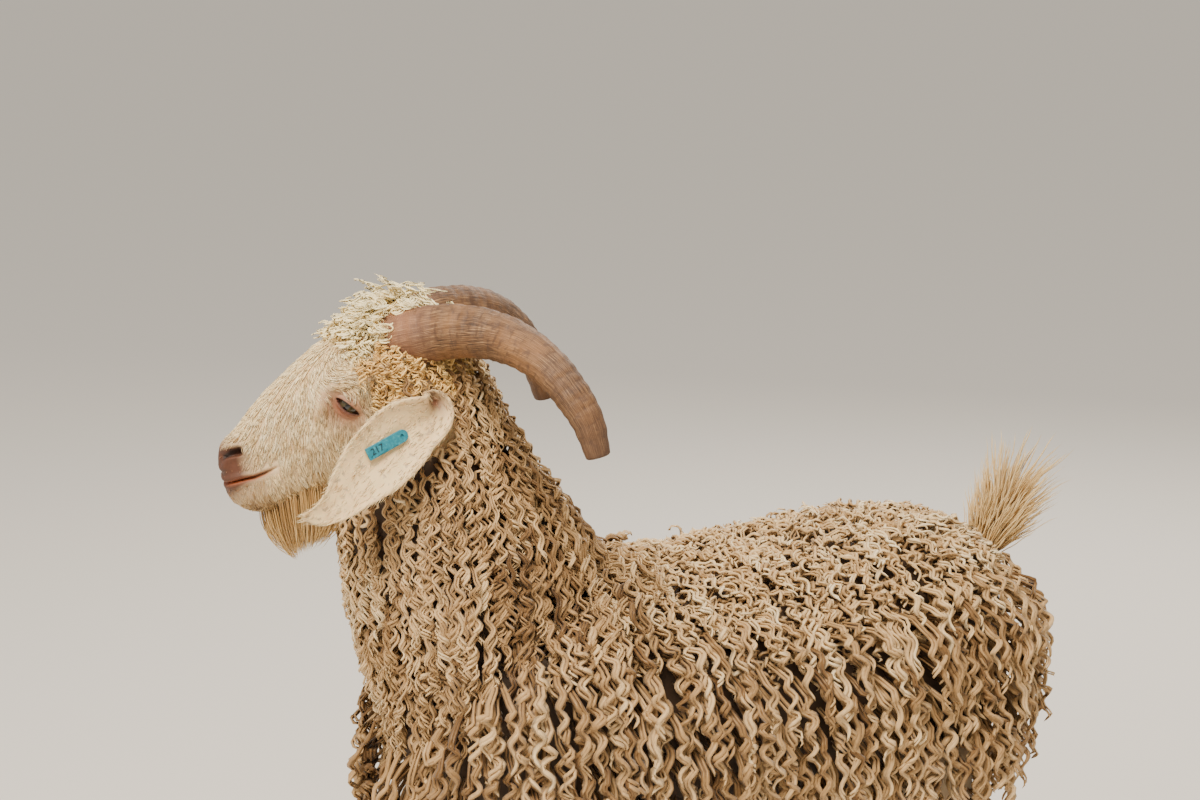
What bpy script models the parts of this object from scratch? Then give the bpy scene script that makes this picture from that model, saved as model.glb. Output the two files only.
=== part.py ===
"""An adult angora goat standing with its head up: one solid for each named part of its body.

Metres, +Z up. The goat faces -X, its left side is -Y, and the floor is z = 0.
Flesh is lofted from rows of sections. The fleece is made of rounded clumps that hang over a core,
and the crown, beard and tail are flat tapered locks.
"""

import math
import random

import bmesh
import bpy
import numpy as np
from mathutils import Matrix, Vector

BODY_SHIFT = Vector((-0.017, -0.001, 0.0))  # brings the middle of the whole animal over the origin
GAP = 0.0003  # between two nodes that touch

# Hide of the trunk: x, mid height, half width, rise to the back, drop to the belly
TRUNK = (
    (-0.288, 0.470, 0.018, 0.024, 0.028),
    (-0.262, 0.470, 0.070, 0.085, 0.095),
    (-0.200, 0.475, 0.104, 0.118, 0.146),
    (-0.100, 0.465, 0.120, 0.130, 0.158),
    (0.030, 0.457, 0.136, 0.128, 0.152),
    (0.160, 0.462, 0.136, 0.130, 0.138),
    (0.270, 0.475, 0.122, 0.124, 0.115),
    (0.350, 0.487, 0.096, 0.098, 0.105),
    (0.398, 0.487, 0.056, 0.058, 0.065),
    (0.414, 0.487, 0.016, 0.018, 0.020),
)
TRUNK_POWER = 2.15
FLANK_FLEECE = 0.052  # from the hide to the tips on the flank
BACK_FLEECE = 0.036  # and along the back
CORE_SHARE = 0.42  # of the way to the tips that the solid core reaches

# Hide of the neck: x, y, z, half width, half depth fore and aft
NECK = (
    (-0.135, 0.000, 0.430, 0.085, 0.120),
    (-0.190, 0.000, 0.530, 0.079, 0.110),
    (-0.232, 0.002, 0.620, 0.070, 0.096),
    (-0.260, 0.006, 0.700, 0.060, 0.081),
    (-0.278, 0.012, 0.770, 0.053, 0.069),
    (-0.296, 0.018, 0.835, 0.044, 0.056),
)
NECK_FLEECE = 0.044
NAPE_FLEECE = 0.020
NECK_BASE = Vector((-0.205, 0.0, 0.565))  # the neck and the trunk part here
NECK_BASE_TILT = math.radians(20.5)  # of that parting from level, lower in front

# The head: a point between the eyes, and how it is held
HEAD_PLACE = Vector((-0.340, 0.030, 0.800))
HEAD_PITCH = math.radians(35)  # nose down
HEAD_YAW = math.radians(20)  # turned to the goat's right
# Along the head: forward, top, bottom, level of the widest point, half width, squareness
HEAD = (
    (-0.094, 0.006, -0.030, -0.010, 0.016, 2.0),
    (-0.088, 0.026, -0.048, -0.008, 0.036, 2.0),
    (-0.070, 0.043, -0.062, -0.006, 0.047, 2.1),
    (-0.038, 0.053, -0.071, -0.003, 0.052, 2.2),
    (0.000, 0.0560, -0.0735, -0.001, 0.0530, 2.3),
    (0.034, 0.0520, -0.0695, 0.000, 0.0495, 2.4),
    (0.062, 0.0460, -0.0625, -0.004, 0.0425, 2.4),
    (0.092, 0.0375, -0.0555, -0.008, 0.0345, 2.4),
    (0.116, 0.0295, -0.0500, -0.010, 0.0290, 2.4),
    (0.130, 0.0235, -0.0440, -0.011, 0.0270, 2.4),
    (0.140, 0.0130, -0.0375, -0.012, 0.0240, 2.3),
    (0.146, 0.0020, -0.0300, -0.013, 0.0190, 2.2),
    (0.149, -0.0060, -0.0220, -0.014, 0.0110, 2.0),
)
# The head and the neck part on the plane through these two points: forward, dorsal
PARTING_NAPE = (-0.100, -0.052)
PARTING_THROAT = (0.045, -0.098)

EYE_RADIUS = 0.0135
EYE_AXIS = (0.30, 0.10, 0.95)  # where it looks: forward, dorsal, sideways
EYE_SIDE = 0.0430  # from the middle plane to the ball's centre
EYE_SLANT = math.radians(55)  # of the lids' opening from the head's own axis
LID = 0.0028
LID_OPENING = (0.0140, 0.0056)  # half length, half height

# Horn centreline: forward, dorsal, sideways, radius
HORN = (
    (-0.060, 0.024, 0.020, 0.0250),
    (-0.084, 0.016, 0.033, 0.0270),
    (-0.118, 0.002, 0.052, 0.0260),
    (-0.144, -0.016, 0.074, 0.0238),
    (-0.161, -0.036, 0.098, 0.0215),
    (-0.172, -0.062, 0.122, 0.0190),
    (-0.175, -0.093, 0.142, 0.0175),
    (-0.172, -0.125, 0.155, 0.0152),
    (-0.161, -0.156, 0.161, 0.0118),
)
HORN_FLATNESS = 0.86  # sideways thickness over depth
HORN_RINGS = 9

# Ear: forward, dorsal, sideways, half width, how far it is rolled in degrees
EAR = (
    (-0.052, -0.034, 0.034, 0.0115, 180),
    (-0.065, -0.045, 0.056, 0.0150, 168),
    (-0.056, -0.048, 0.077, 0.0240, 125),
    (-0.0345, -0.044, 0.087, 0.0330, 96),
    (-0.0141, -0.0442, 0.094, 0.0365, 78),
    (0.0056, -0.0465, 0.100, 0.0355, 70),
    (0.0243, -0.0496, 0.105, 0.0320, 62),
    (0.0441, -0.0535, 0.109, 0.0250, 56),
    (0.0631, -0.0565, 0.112, 0.0185, 50),
    (0.0826, -0.0540, 0.115, 0.0115, 42),
    (0.0980, -0.0470, 0.117, 0.0035, 30),
)
EAR_FACING = (0.25, 0.0, 1.0)  # the hollow side looks this way: forward, dorsal, sideways
EAR_THICKNESS = (0.0062, 0.0026)  # at the root and at the tip
EAR_STATIONS = 12

TAG_LENGTH = 0.0450
TAG_HALF_WIDTH = 0.0062
TAG_THICKNESS = 0.0020
TAG_PIN_PLACE = 0.42  # of the way along the ear
TAG_TURN = math.radians(17)  # of the plate from the ear's own line, towards its front edge
TAG_PIN_INSET = 0.0062  # from the plate's round end to the pin
TAG_STANDOFF = 0.0054  # from the middle of the ear's blade to the plate
TAG_PIN_RADIUS = 0.0018
TAG_STUD_RADIUS = 0.0050
TAG_PIN_BACK = 0.0080  # from the middle of the blade to the pin's hidden end
TAG_PIN_HEAD = 0.0006  # how far the pin stands out of the plate
TAG_STUD_LEVELS = (0.0090, 0.0070)  # of the stud behind the blade

# Legs: height, x, y, half length fore and aft, half width, depth of the fleece there
FORELEG = (
    (0.450, -0.172, 0.066, 0.052, 0.036, 0.0),
    (0.400, -0.176, 0.082, 0.052, 0.040, 0.024),
    (0.340, -0.180, 0.089, 0.041, 0.035, 0.026),
    (0.290, -0.183, 0.089, 0.031, 0.027, 0.026),
    (0.245, -0.185, 0.088, 0.0245, 0.0215, 0.022),
    (0.210, -0.187, 0.087, 0.0210, 0.0195, 0.012),
    (0.183, -0.189, 0.086, 0.0225, 0.0210, 0.003),
    (0.155, -0.187, 0.086, 0.0180, 0.0170, 0.0),
    (0.120, -0.185, 0.086, 0.0138, 0.0128, 0.0),
    (0.085, -0.184, 0.086, 0.0140, 0.0130, 0.0),
    (0.062, -0.187, 0.086, 0.0190, 0.0175, 0.0),
    (0.044, -0.192, 0.086, 0.0180, 0.0175, 0.0),
    (0.020, -0.198, 0.086, 0.0200, 0.0195, 0.0),
)
HINDLEG = (
    (0.490, 0.270, 0.058, 0.070, 0.040, 0.0),
    (0.430, 0.268, 0.084, 0.082, 0.048, 0.024),
    (0.380, 0.268, 0.094, 0.068, 0.044, 0.026),
    (0.335, 0.280, 0.097, 0.049, 0.035, 0.026),
    (0.298, 0.300, 0.098, 0.037, 0.028, 0.024),
    (0.263, 0.322, 0.096, 0.0285, 0.0215, 0.016),
    (0.236, 0.337, 0.095, 0.0245, 0.0190, 0.005),
    (0.208, 0.337, 0.095, 0.0215, 0.0180, 0.0),
    (0.172, 0.330, 0.095, 0.0165, 0.0148, 0.0),
    (0.130, 0.323, 0.095, 0.0148, 0.0132, 0.0),
    (0.090, 0.317, 0.095, 0.0148, 0.0134, 0.0),
    (0.063, 0.312, 0.095, 0.0192, 0.0175, 0.0),
    (0.044, 0.306, 0.095, 0.0180, 0.0175, 0.0),
    (0.020, 0.300, 0.095, 0.0200, 0.0195, 0.0),
)
# Clumps of the fleece: spacing, length along their lie, width, thickness
TRUNK_CLUMPS = (0.107, 0.126, 0.100, 0.052)
NECK_CLUMPS = (0.076, 0.096, 0.072, 0.040)
LEG_CLUMPS = (0.085, 0.090, 0.070, 0.028)
CLUMP_SIDES = 5
COAT_DETAIL = 0.6  # share of the joined clumps' faces that is kept
NODE_DETAIL = 0.75  # and of a whole node's
HEAD_DETAIL = 0.86  # and of the bare head's
# Curls of the crown: spacing, length, width, thickness, rise
CROWN_CURLS = (0.0250, 0.040, 0.036, 0.024, 0.022)
CROWN_REGION = (-0.082, -0.018, 0.040)  # from back to front, and half its width
# Locks of the beard and of the tail: number, length, width, thickness
BEARD_LOCKS = (8, 0.068, 0.021, 0.010)
TAIL_LOCKS = (9, 0.085, 0.034, 0.013)

HOCK_HEIGHT = 0.222  # where the hind leg is parted from its shank
LEG_RISE = 0.017
LEG_COAT = (2, 33)  # first and last of the leg's sixty rings that carry clumps
SLEEVE_EASE = 0.013  # clear room round the leg's fleece
# Room that the tail's locks keep to: x, z, half width, half height
TAIL_SLEEVE = (
    (0.385, 0.530, 0.034, 0.034),
    (0.430, 0.565, 0.046, 0.042),
    (0.470, 0.605, 0.056, 0.052),
    (0.505, 0.655, 0.052, 0.060),
    (0.535, 0.720, 0.040, 0.050),
    (0.550, 0.760, 0.020, 0.020),
)

# A claw of the hoof: lengths before and behind the foot's middle, outer half width, cleft, heights
CLAW_TOE = 0.0400
CLAW_HEEL = 0.0180
CLAW_WIDTH = 0.0215
CLEFT = 0.0016
CORONET_FRONT = 0.0400
CORONET_HEEL = 0.0240

# Tail: forward is x, then z, then half width and half height of its core
TAIL = (
    (0.385, 0.535, 0.020, 0.018),
    (0.418, 0.560, 0.022, 0.019),
    (0.440, 0.592, 0.020, 0.016),
    (0.455, 0.628, 0.013, 0.011),
)

COLOURS = {
    "fleece": (0.62, 0.50, 0.34),
    "face": (0.74, 0.62, 0.48),
    "horn": (0.26, 0.15, 0.09),
    "hoof": (0.09, 0.07, 0.05),
    "eye": (0.06, 0.05, 0.03),
    "ear": (0.72, 0.52, 0.42),
    "tag": (0.03, 0.36, 0.48),
}


def smooth_rows(rows, count):
    """Even samples of a smooth curve through all the rows, each column on its own."""
    rows = np.array(rows, dtype=float)
    step = np.linalg.norm(np.diff(rows[:, :3], axis=0), axis=1)
    place = np.concatenate(([0.0], np.cumsum(np.maximum(step, 1e-6))))
    slope = np.gradient(rows, place, axis=0)
    at = np.linspace(0.0, place[-1], count)
    left = np.clip(np.searchsorted(place, at, side="right") - 1, 0, len(rows) - 2)
    width = (place[left + 1] - place[left])[:, None]
    t = (at - place[left])[:, None] / width
    start = (2 * t**3 - 3 * t**2 + 1) * rows[left] + (t**3 - 2 * t**2 + t) * width * slope[left]
    end = (3 * t**2 - 2 * t**3) * rows[left + 1] + (t**3 - t**2) * width * slope[left + 1]
    return start + end


def superellipse(sides, power=2.0):
    """Unit section, a circle for power 2 and squarer above it, as across and up values."""
    angle = np.arange(sides) * 2 * math.pi / sides
    across = np.sign(np.cos(angle)) * np.abs(np.cos(angle)) ** (2 / power)
    up = np.sign(np.sin(angle)) * np.abs(np.sin(angle)) ** (2 / power)
    return across, up


def closed_mesh(name, rings):
    """A closed object through rings of points, each end closed by a fan to its middle."""
    rings = np.array(rings)
    count, sides = rings.shape[:2]
    points = np.concatenate((rings.reshape(-1, 3), [rings[0].mean(axis=0)], [rings[-1].mean(axis=0)]))
    faces = []
    for row in range(count - 1):
        for side in range(sides):
            after = (side + 1) % sides
            a, b = row * sides + side, row * sides + after
            faces.append((a, b, b + sides, a + sides))
    last = (count - 1) * sides
    for side in range(sides):
        after = (side + 1) % sides
        faces.append((after, side, count * sides))
        faces.append((last + side, last + after, count * sides + 1))
    mesh = bpy.data.meshes.new(name)
    mesh.from_pydata(points.tolist(), [], faces)
    shape = bmesh.new()
    shape.from_mesh(mesh)
    bmesh.ops.recalc_face_normals(shape, faces=shape.faces)
    bmesh.ops.triangulate(shape, faces=shape.faces)
    if shape.calc_volume(signed=True) < 0:
        bmesh.ops.reverse_faces(shape, faces=shape.faces)
    shape.to_mesh(mesh)
    shape.free()
    made = bpy.data.objects.new(name, mesh)
    bpy.context.scene.collection.objects.link(made)
    return made


def sweep(name, path, halves, sides=6, across=(0.0, 1.0, 0.0), power=2.0):
    """A tube along a path: halves holds its two half sizes at each point, the first one across."""
    path = np.array(path, dtype=float)
    along = np.gradient(path, axis=0)
    along /= np.linalg.norm(along, axis=1)[:, None]
    first = np.broadcast_to(np.array(across, dtype=float), path.shape)
    first = first - (first * along).sum(axis=1)[:, None] * along
    first = first / np.linalg.norm(first, axis=1)[:, None]
    second = np.cross(along, first)
    halves = np.array(halves, dtype=float)
    cos, sin = superellipse(sides, power)
    rings = (
        path[:, None, :]
        + halves[:, 0, None, None] * cos[None, :, None] * first[:, None, :]
        + halves[:, 1, None, None] * sin[None, :, None] * second[:, None, :]
    )
    return closed_mesh(name, rings)


def remove(objects):
    for item in objects:
        mesh = item.data
        bpy.data.objects.remove(item)
        bpy.data.meshes.remove(mesh)


def inflated(source, amount, name="cutter", keep=True):
    """A copy whose surface lies further out by the amount, with its source kept or not."""
    mesh = source.data.copy()
    shape = bmesh.new()
    shape.from_mesh(mesh)
    shape.normal_update()
    moves = [vertex.normal * amount * min(vertex.calc_shell_factor(), 3.0) for vertex in shape.verts]
    for vertex, move in zip(shape.verts, moves):
        vertex.co += move
    shape.to_mesh(mesh)
    shape.free()
    made = bpy.data.objects.new(name, mesh)
    bpy.context.scene.collection.objects.link(made)
    if not keep:
        remove([source])
    return made


def applied(target):
    """Turn an object's modifiers into its mesh."""
    depsgraph = bpy.context.evaluated_depsgraph_get()
    mesh = bpy.data.meshes.new_from_object(target.evaluated_get(depsgraph))
    target.modifiers.clear()
    old = target.data
    target.data = mesh
    bpy.data.meshes.remove(old)


def boolean(target, others, operation, solver="MANIFOLD", keep=False):
    """Join, cut or trim the target by a collection of closed objects, which then go."""
    group = bpy.data.collections.new("operands")
    for other in others:
        group.objects.link(other)
    modifier = target.modifiers.new(operation.lower(), "BOOLEAN")
    modifier.operation = operation
    modifier.solver = solver
    modifier.operand_type = "COLLECTION"
    modifier.collection = group
    applied(target)
    bpy.data.collections.remove(group)
    if not keep:
        remove(others)
    return target


def joined(name, pieces):
    """One object from many closed pieces."""
    target = pieces[0]
    target.name = name
    if len(pieces) > 1:
        boolean(target, pieces[1:], "UNION")
    return target


def open_edges(mesh):
    """How many edges of a mesh don't lie between exactly two faces."""
    shape = bmesh.new()
    shape.from_mesh(mesh)
    count = sum(len(edge.link_faces) != 2 for edge in shape.edges)
    shape.free()
    return count


def thinned(target, share):
    """The same shape with only about a share of its faces, and still closed."""
    whole = target.data.copy()
    while share < 0.98:
        modifier = target.modifiers.new("fewer", "DECIMATE")
        modifier.ratio = share
        applied(target)
        if open_edges(target.data) == 0:
            break
        target.data = whole.copy()
        share += 0.007


def largest_surface(target):
    """Keep only the largest closed surface of an object."""
    shape = bmesh.new()
    shape.from_mesh(target.data)
    unseen = set(shape.verts)
    groups = []
    while unseen:
        stack = [unseen.pop()]
        group = set(stack)
        while stack:
            for edge in stack.pop().link_edges:
                for vertex in edge.verts:
                    if vertex in unseen:
                        unseen.remove(vertex)
                        group.add(vertex)
                        stack.append(vertex)
        groups.append(group)
    groups.sort(key=len, reverse=True)
    loose = [vertex for group in groups[1:] for vertex in group]
    bmesh.ops.delete(shape, geom=loose, context="VERTS")
    tries = []
    for method in ("BEAUTY", "EAR_CLIP"):
        copy = shape.copy()
        bmesh.ops.triangulate(copy, faces=copy.faces, ngon_method=method)
        tries.append((sum(len(edge.link_faces) != 2 for edge in copy.edges), len(tries), copy))
    min(tries)[2].to_mesh(target.data)
    for _, _, copy in tries:
        copy.free()
    shape.free()
    return target


def finished(target, name, colour, roughness=0.8):
    """Name a node, move it to its place on the floor, and give it its own material."""
    largest_surface(target)
    target.name = name
    target.data.name = name
    target.data.transform(Matrix.Translation(BODY_SHIFT))
    surface = bpy.data.materials.new(name)
    surface.use_nodes = True
    shader = surface.node_tree.nodes["Principled BSDF"]
    shader.inputs["Base Color"].default_value = (*colour, 1.0)
    shader.inputs["Roughness"].default_value = roughness
    target.data.materials.clear()
    target.data.materials.append(surface)
    target.data.shade_smooth()
    target.data.set_sharp_from_angle(angle=math.radians(35))
    return target


def half_space(point, normal, size=2.0):
    """A big block that fills one side of a plane, the side that the normal points to."""
    normal = Vector(normal).normalized()
    bpy.ops.mesh.primitive_cube_add(size=size)
    block = bpy.context.object
    turn = normal.to_track_quat("Z", "Y").to_matrix().to_4x4()
    block.data.transform(Matrix.Translation(Vector(point) + normal * size / 2) @ turn)
    return block


UP = Vector((0.0, 0.0, 1.0))


def head_axes():
    """Forward, dorsal and left directions of the head."""
    level = Vector((-math.cos(HEAD_YAW), math.sin(HEAD_YAW), 0.0))
    forward = level * math.cos(HEAD_PITCH) - UP * math.sin(HEAD_PITCH)
    dorsal = level * math.sin(HEAD_PITCH) + UP * math.cos(HEAD_PITCH)
    left = Vector((-math.sin(HEAD_YAW), -math.cos(HEAD_YAW), 0.0))
    return forward, dorsal, left


FORWARD, DORSAL, LEFT = head_axes()
HEAD_TURN = np.array((FORWARD, DORSAL, LEFT))


def on_head(points, side=1):
    """World places of points given as forward, dorsal and sideways on the head."""
    points = np.array(points, dtype=float) * (1.0, 1.0, side)
    return points @ HEAD_TURN + np.array(HEAD_PLACE)


def trunk_rings(extra, count, sides):
    """Rings round the trunk, each point further out than the hide by extra, which may vary round it."""
    rows = smooth_rows(TRUNK, count)
    cos, sin = superellipse(sides, TRUNK_POWER)
    rings = []
    for x, z, half, rise, drop in rows:
        tall = np.where(sin > 0, rise, drop)
        depth = np.where(sin > 0, extra * (1 - sin) + extra * BACK_FLEECE / FLANK_FLEECE * sin, extra)
        y = cos * (half + depth)
        rings.append(np.stack((np.full(sides, x), y, z + sin * (tall + depth)), axis=1))
    rings = np.array(rings)
    ends = np.linspace(-1, 1, count)
    rings[:, :, 0] += (extra * np.sign(ends) * np.abs(ends) ** 6)[:, None]
    return rings


def neck_rings(extra, count, sides):
    """Rings round the neck, each square to its axis, further out than the hide by extra."""
    rows = smooth_rows(NECK, count)
    axis = np.gradient(rows[:, :3], axis=0)
    axis /= np.linalg.norm(axis, axis=1)[:, None]
    across = np.array((0.0, -1.0, 0.0)) - axis * -axis[:, 1:2]
    across /= np.linalg.norm(across, axis=1)[:, None]
    front = np.cross(axis, across)
    cos, sin = superellipse(sides, 2.0)
    thin = extra * NAPE_FLEECE / NECK_FLEECE
    depth = np.where(sin * front[0, 0] > 0, extra + (thin - extra) * np.abs(sin), extra)
    rings = (
        rows[:, None, :3]
        + (rows[:, 3, None] + depth)[:, :, None] * cos[None, :, None] * across[:, None, :]
        + (rows[:, 4, None] + depth)[:, :, None] * sin[None, :, None] * front[:, None, :]
    )
    return rings


def leg_rings(rows, side, extra, count, sides):
    """Level rings down one leg, further out by a share of the fleece's depth there."""
    rows = smooth_rows(rows, count)
    cos, sin = superellipse(sides, 2.0)
    rings = []
    for z, x, y, length, width, fleece in rows:
        out = extra * fleece
        rings.append(np.stack((x + cos * (length + out), side * y + sin * (width + out),
                               np.full(sides, z)), axis=1))
    return np.array(rings)


def tangent(direction, normal):
    """A direction laid flat on a surface."""
    flat = direction - normal * direction.dot(normal)
    return flat.normalized()


def clump_path(root, out, lie, length, rise, sway):
    """Three points of one clump: sunk root, full belly, and a tip that bends back to the coat."""
    side = out.cross(lie)
    steps = ((0.02, -0.70, 0.0), (0.46, 1.0, 0.5), (1.0, 0.42, -0.3))
    return [root + lie * length * a + out * rise * b + side * sway * c for a, b, c in steps]


CLUMP_SWELL = (0.40, 0.56, 0.24)
LOCK_SWELL = (0.40, 0.46, 0.07)


class Clump:
    """One clump or lock of the coat, kept as its path so that more than one node can be given it."""

    def __init__(self, root, out, lie, length, width, thick, rise, draw, swell=CLUMP_SWELL):
        out, lie = Vector(out), Vector(lie)
        vary = draw.uniform(0.86, 1.14)
        turn = draw.uniform(-0.22, 0.22)
        lie = (lie + out.cross(lie) * turn).normalized()
        self.path = clump_path(Vector(root), out, lie, length * vary, rise * draw.uniform(0.9, 1.06),
                               width * draw.uniform(-0.25, 0.25))
        self.across = out.cross(lie)
        self.halves = [(width * part, thick * part) for part in swell]
        self.reach = max(width, thick) / 2

    def made(self):
        return sweep("clump", self.path, self.halves, CLUMP_SIDES, across=self.across)

    def beyond(self, point, normal):
        """How far the clump reaches past a plane."""
        return max((place - point).dot(normal) for place in self.path) + self.reach


def surface_spots(rings, spacing, draw):
    """Places and outward normals, evenly staggered over a grid of rings."""
    along = np.gradient(rings, axis=0)
    around = np.roll(rings, -1, axis=1) - np.roll(rings, 1, axis=1)
    normals = np.cross(along, around)
    middle = rings.mean(axis=1, keepdims=True)
    flip = np.sign(((rings - middle) * normals).sum())
    normals *= flip
    normals /= np.linalg.norm(normals, axis=2)[:, :, None] + 1e-12
    line = np.linalg.norm(np.diff(middle[:, 0], axis=0), axis=1)
    place = np.concatenate(([0.0], np.cumsum(line)))
    count = max(2, round(place[-1] / spacing))
    spots = []
    for row in range(count):
        index = int(np.argmin(np.abs(place - place[-1] * (row + 0.5) / count)))
        ring = rings[index]
        steps = np.linalg.norm(np.roll(ring, -1, axis=0) - ring, axis=1)
        total = steps.sum()
        number = max(3, round(total / spacing))
        arc = np.concatenate(([0.0], np.cumsum(steps)[:-1]))
        for item in range(number):
            at = (item + 0.5 * (row % 2) + draw.uniform(-0.12, 0.12)) / number * total % total
            spot = int(np.argmin(np.abs(arc - at)))
            spots.append((Vector(ring[spot]), Vector(normals[index, spot])))
    return spots


def fleece_clumps(rings, sizes, rise, draw, back=0.4):
    """Clumps that hang from a surface and lean towards the tail."""
    spacing, length, width, thick = sizes
    pull = Vector((back, 0.0, -1.0))
    clumps = []
    for root, out in surface_spots(rings, spacing, draw):
        lie = tangent(pull, out)
        high = max(0.0, out.z)
        clumps.append(Clump(root, out, lie, length * (1 - 0.25 * high), width, thick,
                            rise * (1 - 0.25 * high), draw))
    return clumps


def crown_curls(draw):
    """Rounded curls on the crown between and before the horns, and down the temples."""
    spacing, length, width, thick, rise = CROWN_CURLS
    back, front, half = CROWN_REGION
    skull = skull_rings(0.0, 61, 48)
    curls = []
    rows = round((front - back) / spacing) + 1
    for row in range(rows):
        u = back + (front - back) * row / (rows - 1)
        for column in range(-2, 3):
            s = (column + 0.5 * (row % 2)) * spacing * 0.85
            if abs(s) > half:
                continue
            spot = nearest_on_skull(skull, u, 0.06, s)
            ahead = FORWARD * (0.9 * row / (rows - 1) - 0.35) + LEFT * s / half * 0.8 + DORSAL * 0.1
            lie = tangent(ahead + LEFT * draw.uniform(-0.4, 0.4), spot[1])
            curls.append(Clump(spot[0], spot[1], lie, length, width, thick, rise, draw))
    for side in (1, -1):
        for u, w in ((-0.046, 0.034), (-0.066, 0.004), (-0.046, 0.010), (-0.084, -0.018)):
            spot = nearest_on_skull(skull, u, w, side * 0.06)
            lie = tangent(-UP, spot[1])
            curls.append(Clump(spot[0], spot[1], lie, length, width, thick, rise * 0.8, draw))
    return curls


def nearest_on_skull(skull, u, w, s):
    """The skull's surface point nearest to a place on the head, and the direction out of it."""
    place = on_head([(u, w, s)])[0]
    flat = skull.reshape(-1, 3)
    spot = flat[np.argmin(((flat - place) ** 2).sum(axis=1))]
    middle = on_head([(u, -0.005, 0.0)])[0]
    return Vector(spot), Vector(spot - middle).normalized()


def beard_locks(draw):
    """Flat tapered locks that hang from the chin and the jaw."""
    count, length, width, thick = BEARD_LOCKS
    locks = []
    for item in range(count):
        share = item / (count - 1)
        side = ((item * 2) % 3 - 1) * 0.011
        root = on_head([(0.120 - 0.055 * share, -0.040 - 0.006 * share, side)])[0]
        fall = Vector((0.10 + 0.25 * share, -side * 6, -1.0)).normalized()
        tip = Vector(root) + fall * length * (1 - 0.45 * abs(share - 0.4))
        path = [Vector(root) - fall * 0.004, Vector(root).lerp(tip, 0.5), tip]
        path[1] = path[1] + FORWARD * 0.004 * draw.uniform(-1, 1)
        lock = Clump(root, -fall, LEFT, length, width, thick, 0.01, draw, LOCK_SWELL)
        lock.path = path
        lock.across = FORWARD
        locks.append(lock)
    return locks


def tail_locks(draw):
    """Long flat locks that rise from the tail and fan back over it."""
    count, length, width, thick = TAIL_LOCKS
    rows = smooth_rows([(x, 0.0, z, a, b) for x, z, a, b in TAIL], count)
    locks = []
    for item, (x, _, z, a, b) in enumerate(rows):
        side = (-1, 0, 1)[item % 3]
        share = item / (count - 1)
        root = Vector((x, side * a * 0.7, z))
        rise = Vector((0.75 - 0.35 * share, side * 0.35, 0.55 + 0.6 * share)).normalized()
        reach = length * (0.75 + 0.25 * share)
        lock = Clump(root, rise, LEFT, length, width, thick, 0.01, draw, LOCK_SWELL)
        lock.path = [root - rise * 0.004, root + rise * reach * 0.5,
                     root + rise * reach + Vector((0.014, 0.0, -0.008))]
        lock.across = Vector((0, 1, 0))
        locks.append(lock)
    return locks


def ear_frame(side, count):
    """Places along an ear's middle, the directions along, across and out of it, half widths and roll."""
    rows = smooth_rows(EAR, count)
    path = on_head(rows[:, :3], side)
    along = np.gradient(path, axis=0)
    along /= np.linalg.norm(along, axis=1)[:, None]
    facing = np.array(EAR_FACING) * (1, 1, side) @ HEAD_TURN
    out = facing - (along @ facing)[:, None] * along
    out /= np.linalg.norm(out, axis=1)[:, None]
    wide = np.cross(along, out)
    return path, along, wide, out, rows[:, 3], np.radians(rows[:, 4])


def ear_blade(side):
    """An ear as a curled leaf, its hollow side out, with its root in the head."""
    path, along, wide, out, halves, rolls = ear_frame(side, EAR_STATIONS)
    thickness = np.linspace(*EAR_THICKNESS, EAR_STATIONS)
    spread = np.linspace(-1, 1, 7)
    edge = 1 - 0.6 * spread**4
    rings = []
    for place, w, o, half, roll, thick in zip(path, wide, out, halves, rolls, thickness):
        radius = 2 * half / roll
        turn = spread * roll / 2
        ring = []
        for shift in (-thick / 2, thick / 2):
            reach = radius - shift * edge
            line = place + np.outer(reach * np.sin(turn), w) + np.outer(radius - reach * np.cos(turn), o)
            ring.append(line if shift < 0 else line[::-1])
        rings.append(np.concatenate(ring))
    return closed_mesh("ear", rings)


def horn_shape(side):
    """A horn swept back, out and down, with shallow rings, cut blunt at its tip."""
    rows = smooth_rows(HORN, 16)
    path = on_head(rows[:, :3], side)
    beat = 1 + 0.018 * np.cos(np.linspace(0, HORN_RINGS * 2 * math.pi, len(rows)))
    radius = rows[:, 3] * beat
    halves = np.stack((radius * HORN_FLATNESS, radius), axis=1)
    return sweep("horn", path, halves, sides=10, across=LEFT * side)


def eye_centre(side):
    return Vector(on_head([(0.0, 0.0, EYE_SIDE)], side)[0])


def ball(name, centre, radius, segments=12, rows=8, axis=(0, 0, 1)):
    bpy.ops.mesh.primitive_uv_sphere_add(segments=segments, ring_count=rows, radius=radius)
    made = bpy.context.object
    made.name = name
    turn = Vector(axis).to_track_quat("Z", "Y").to_matrix().to_4x4()
    made.data.transform(Matrix.Translation(centre) @ turn)
    return made


def eye_direction(side):
    return Vector(np.array(EYE_AXIS) * (1, 1, side) @ HEAD_TURN).normalized()


def lid_opening(side):
    """A flat almond prism that cuts the slit between the lids."""
    look = eye_direction(side)
    long_axis = FORWARD * math.cos(EYE_SLANT) + DORSAL * math.sin(EYE_SLANT)
    long_axis = (long_axis - look * long_axis.dot(look)).normalized()
    high_axis = look.cross(long_axis)
    angle = np.arange(14) * 2 * math.pi / 14
    wide = LID_OPENING[0] * np.cos(angle)
    high = LID_OPENING[1] * np.sign(np.sin(angle)) * np.abs(np.sin(angle)) ** 1.3
    rings = []
    for depth in (EYE_RADIUS * 0.45, EYE_RADIUS * 2.0):
        base = np.array(eye_centre(side) + look * depth)
        rings.append(base + np.outer(wide, long_axis) + np.outer(high, high_axis))
    return closed_mesh("slit", rings)


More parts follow.
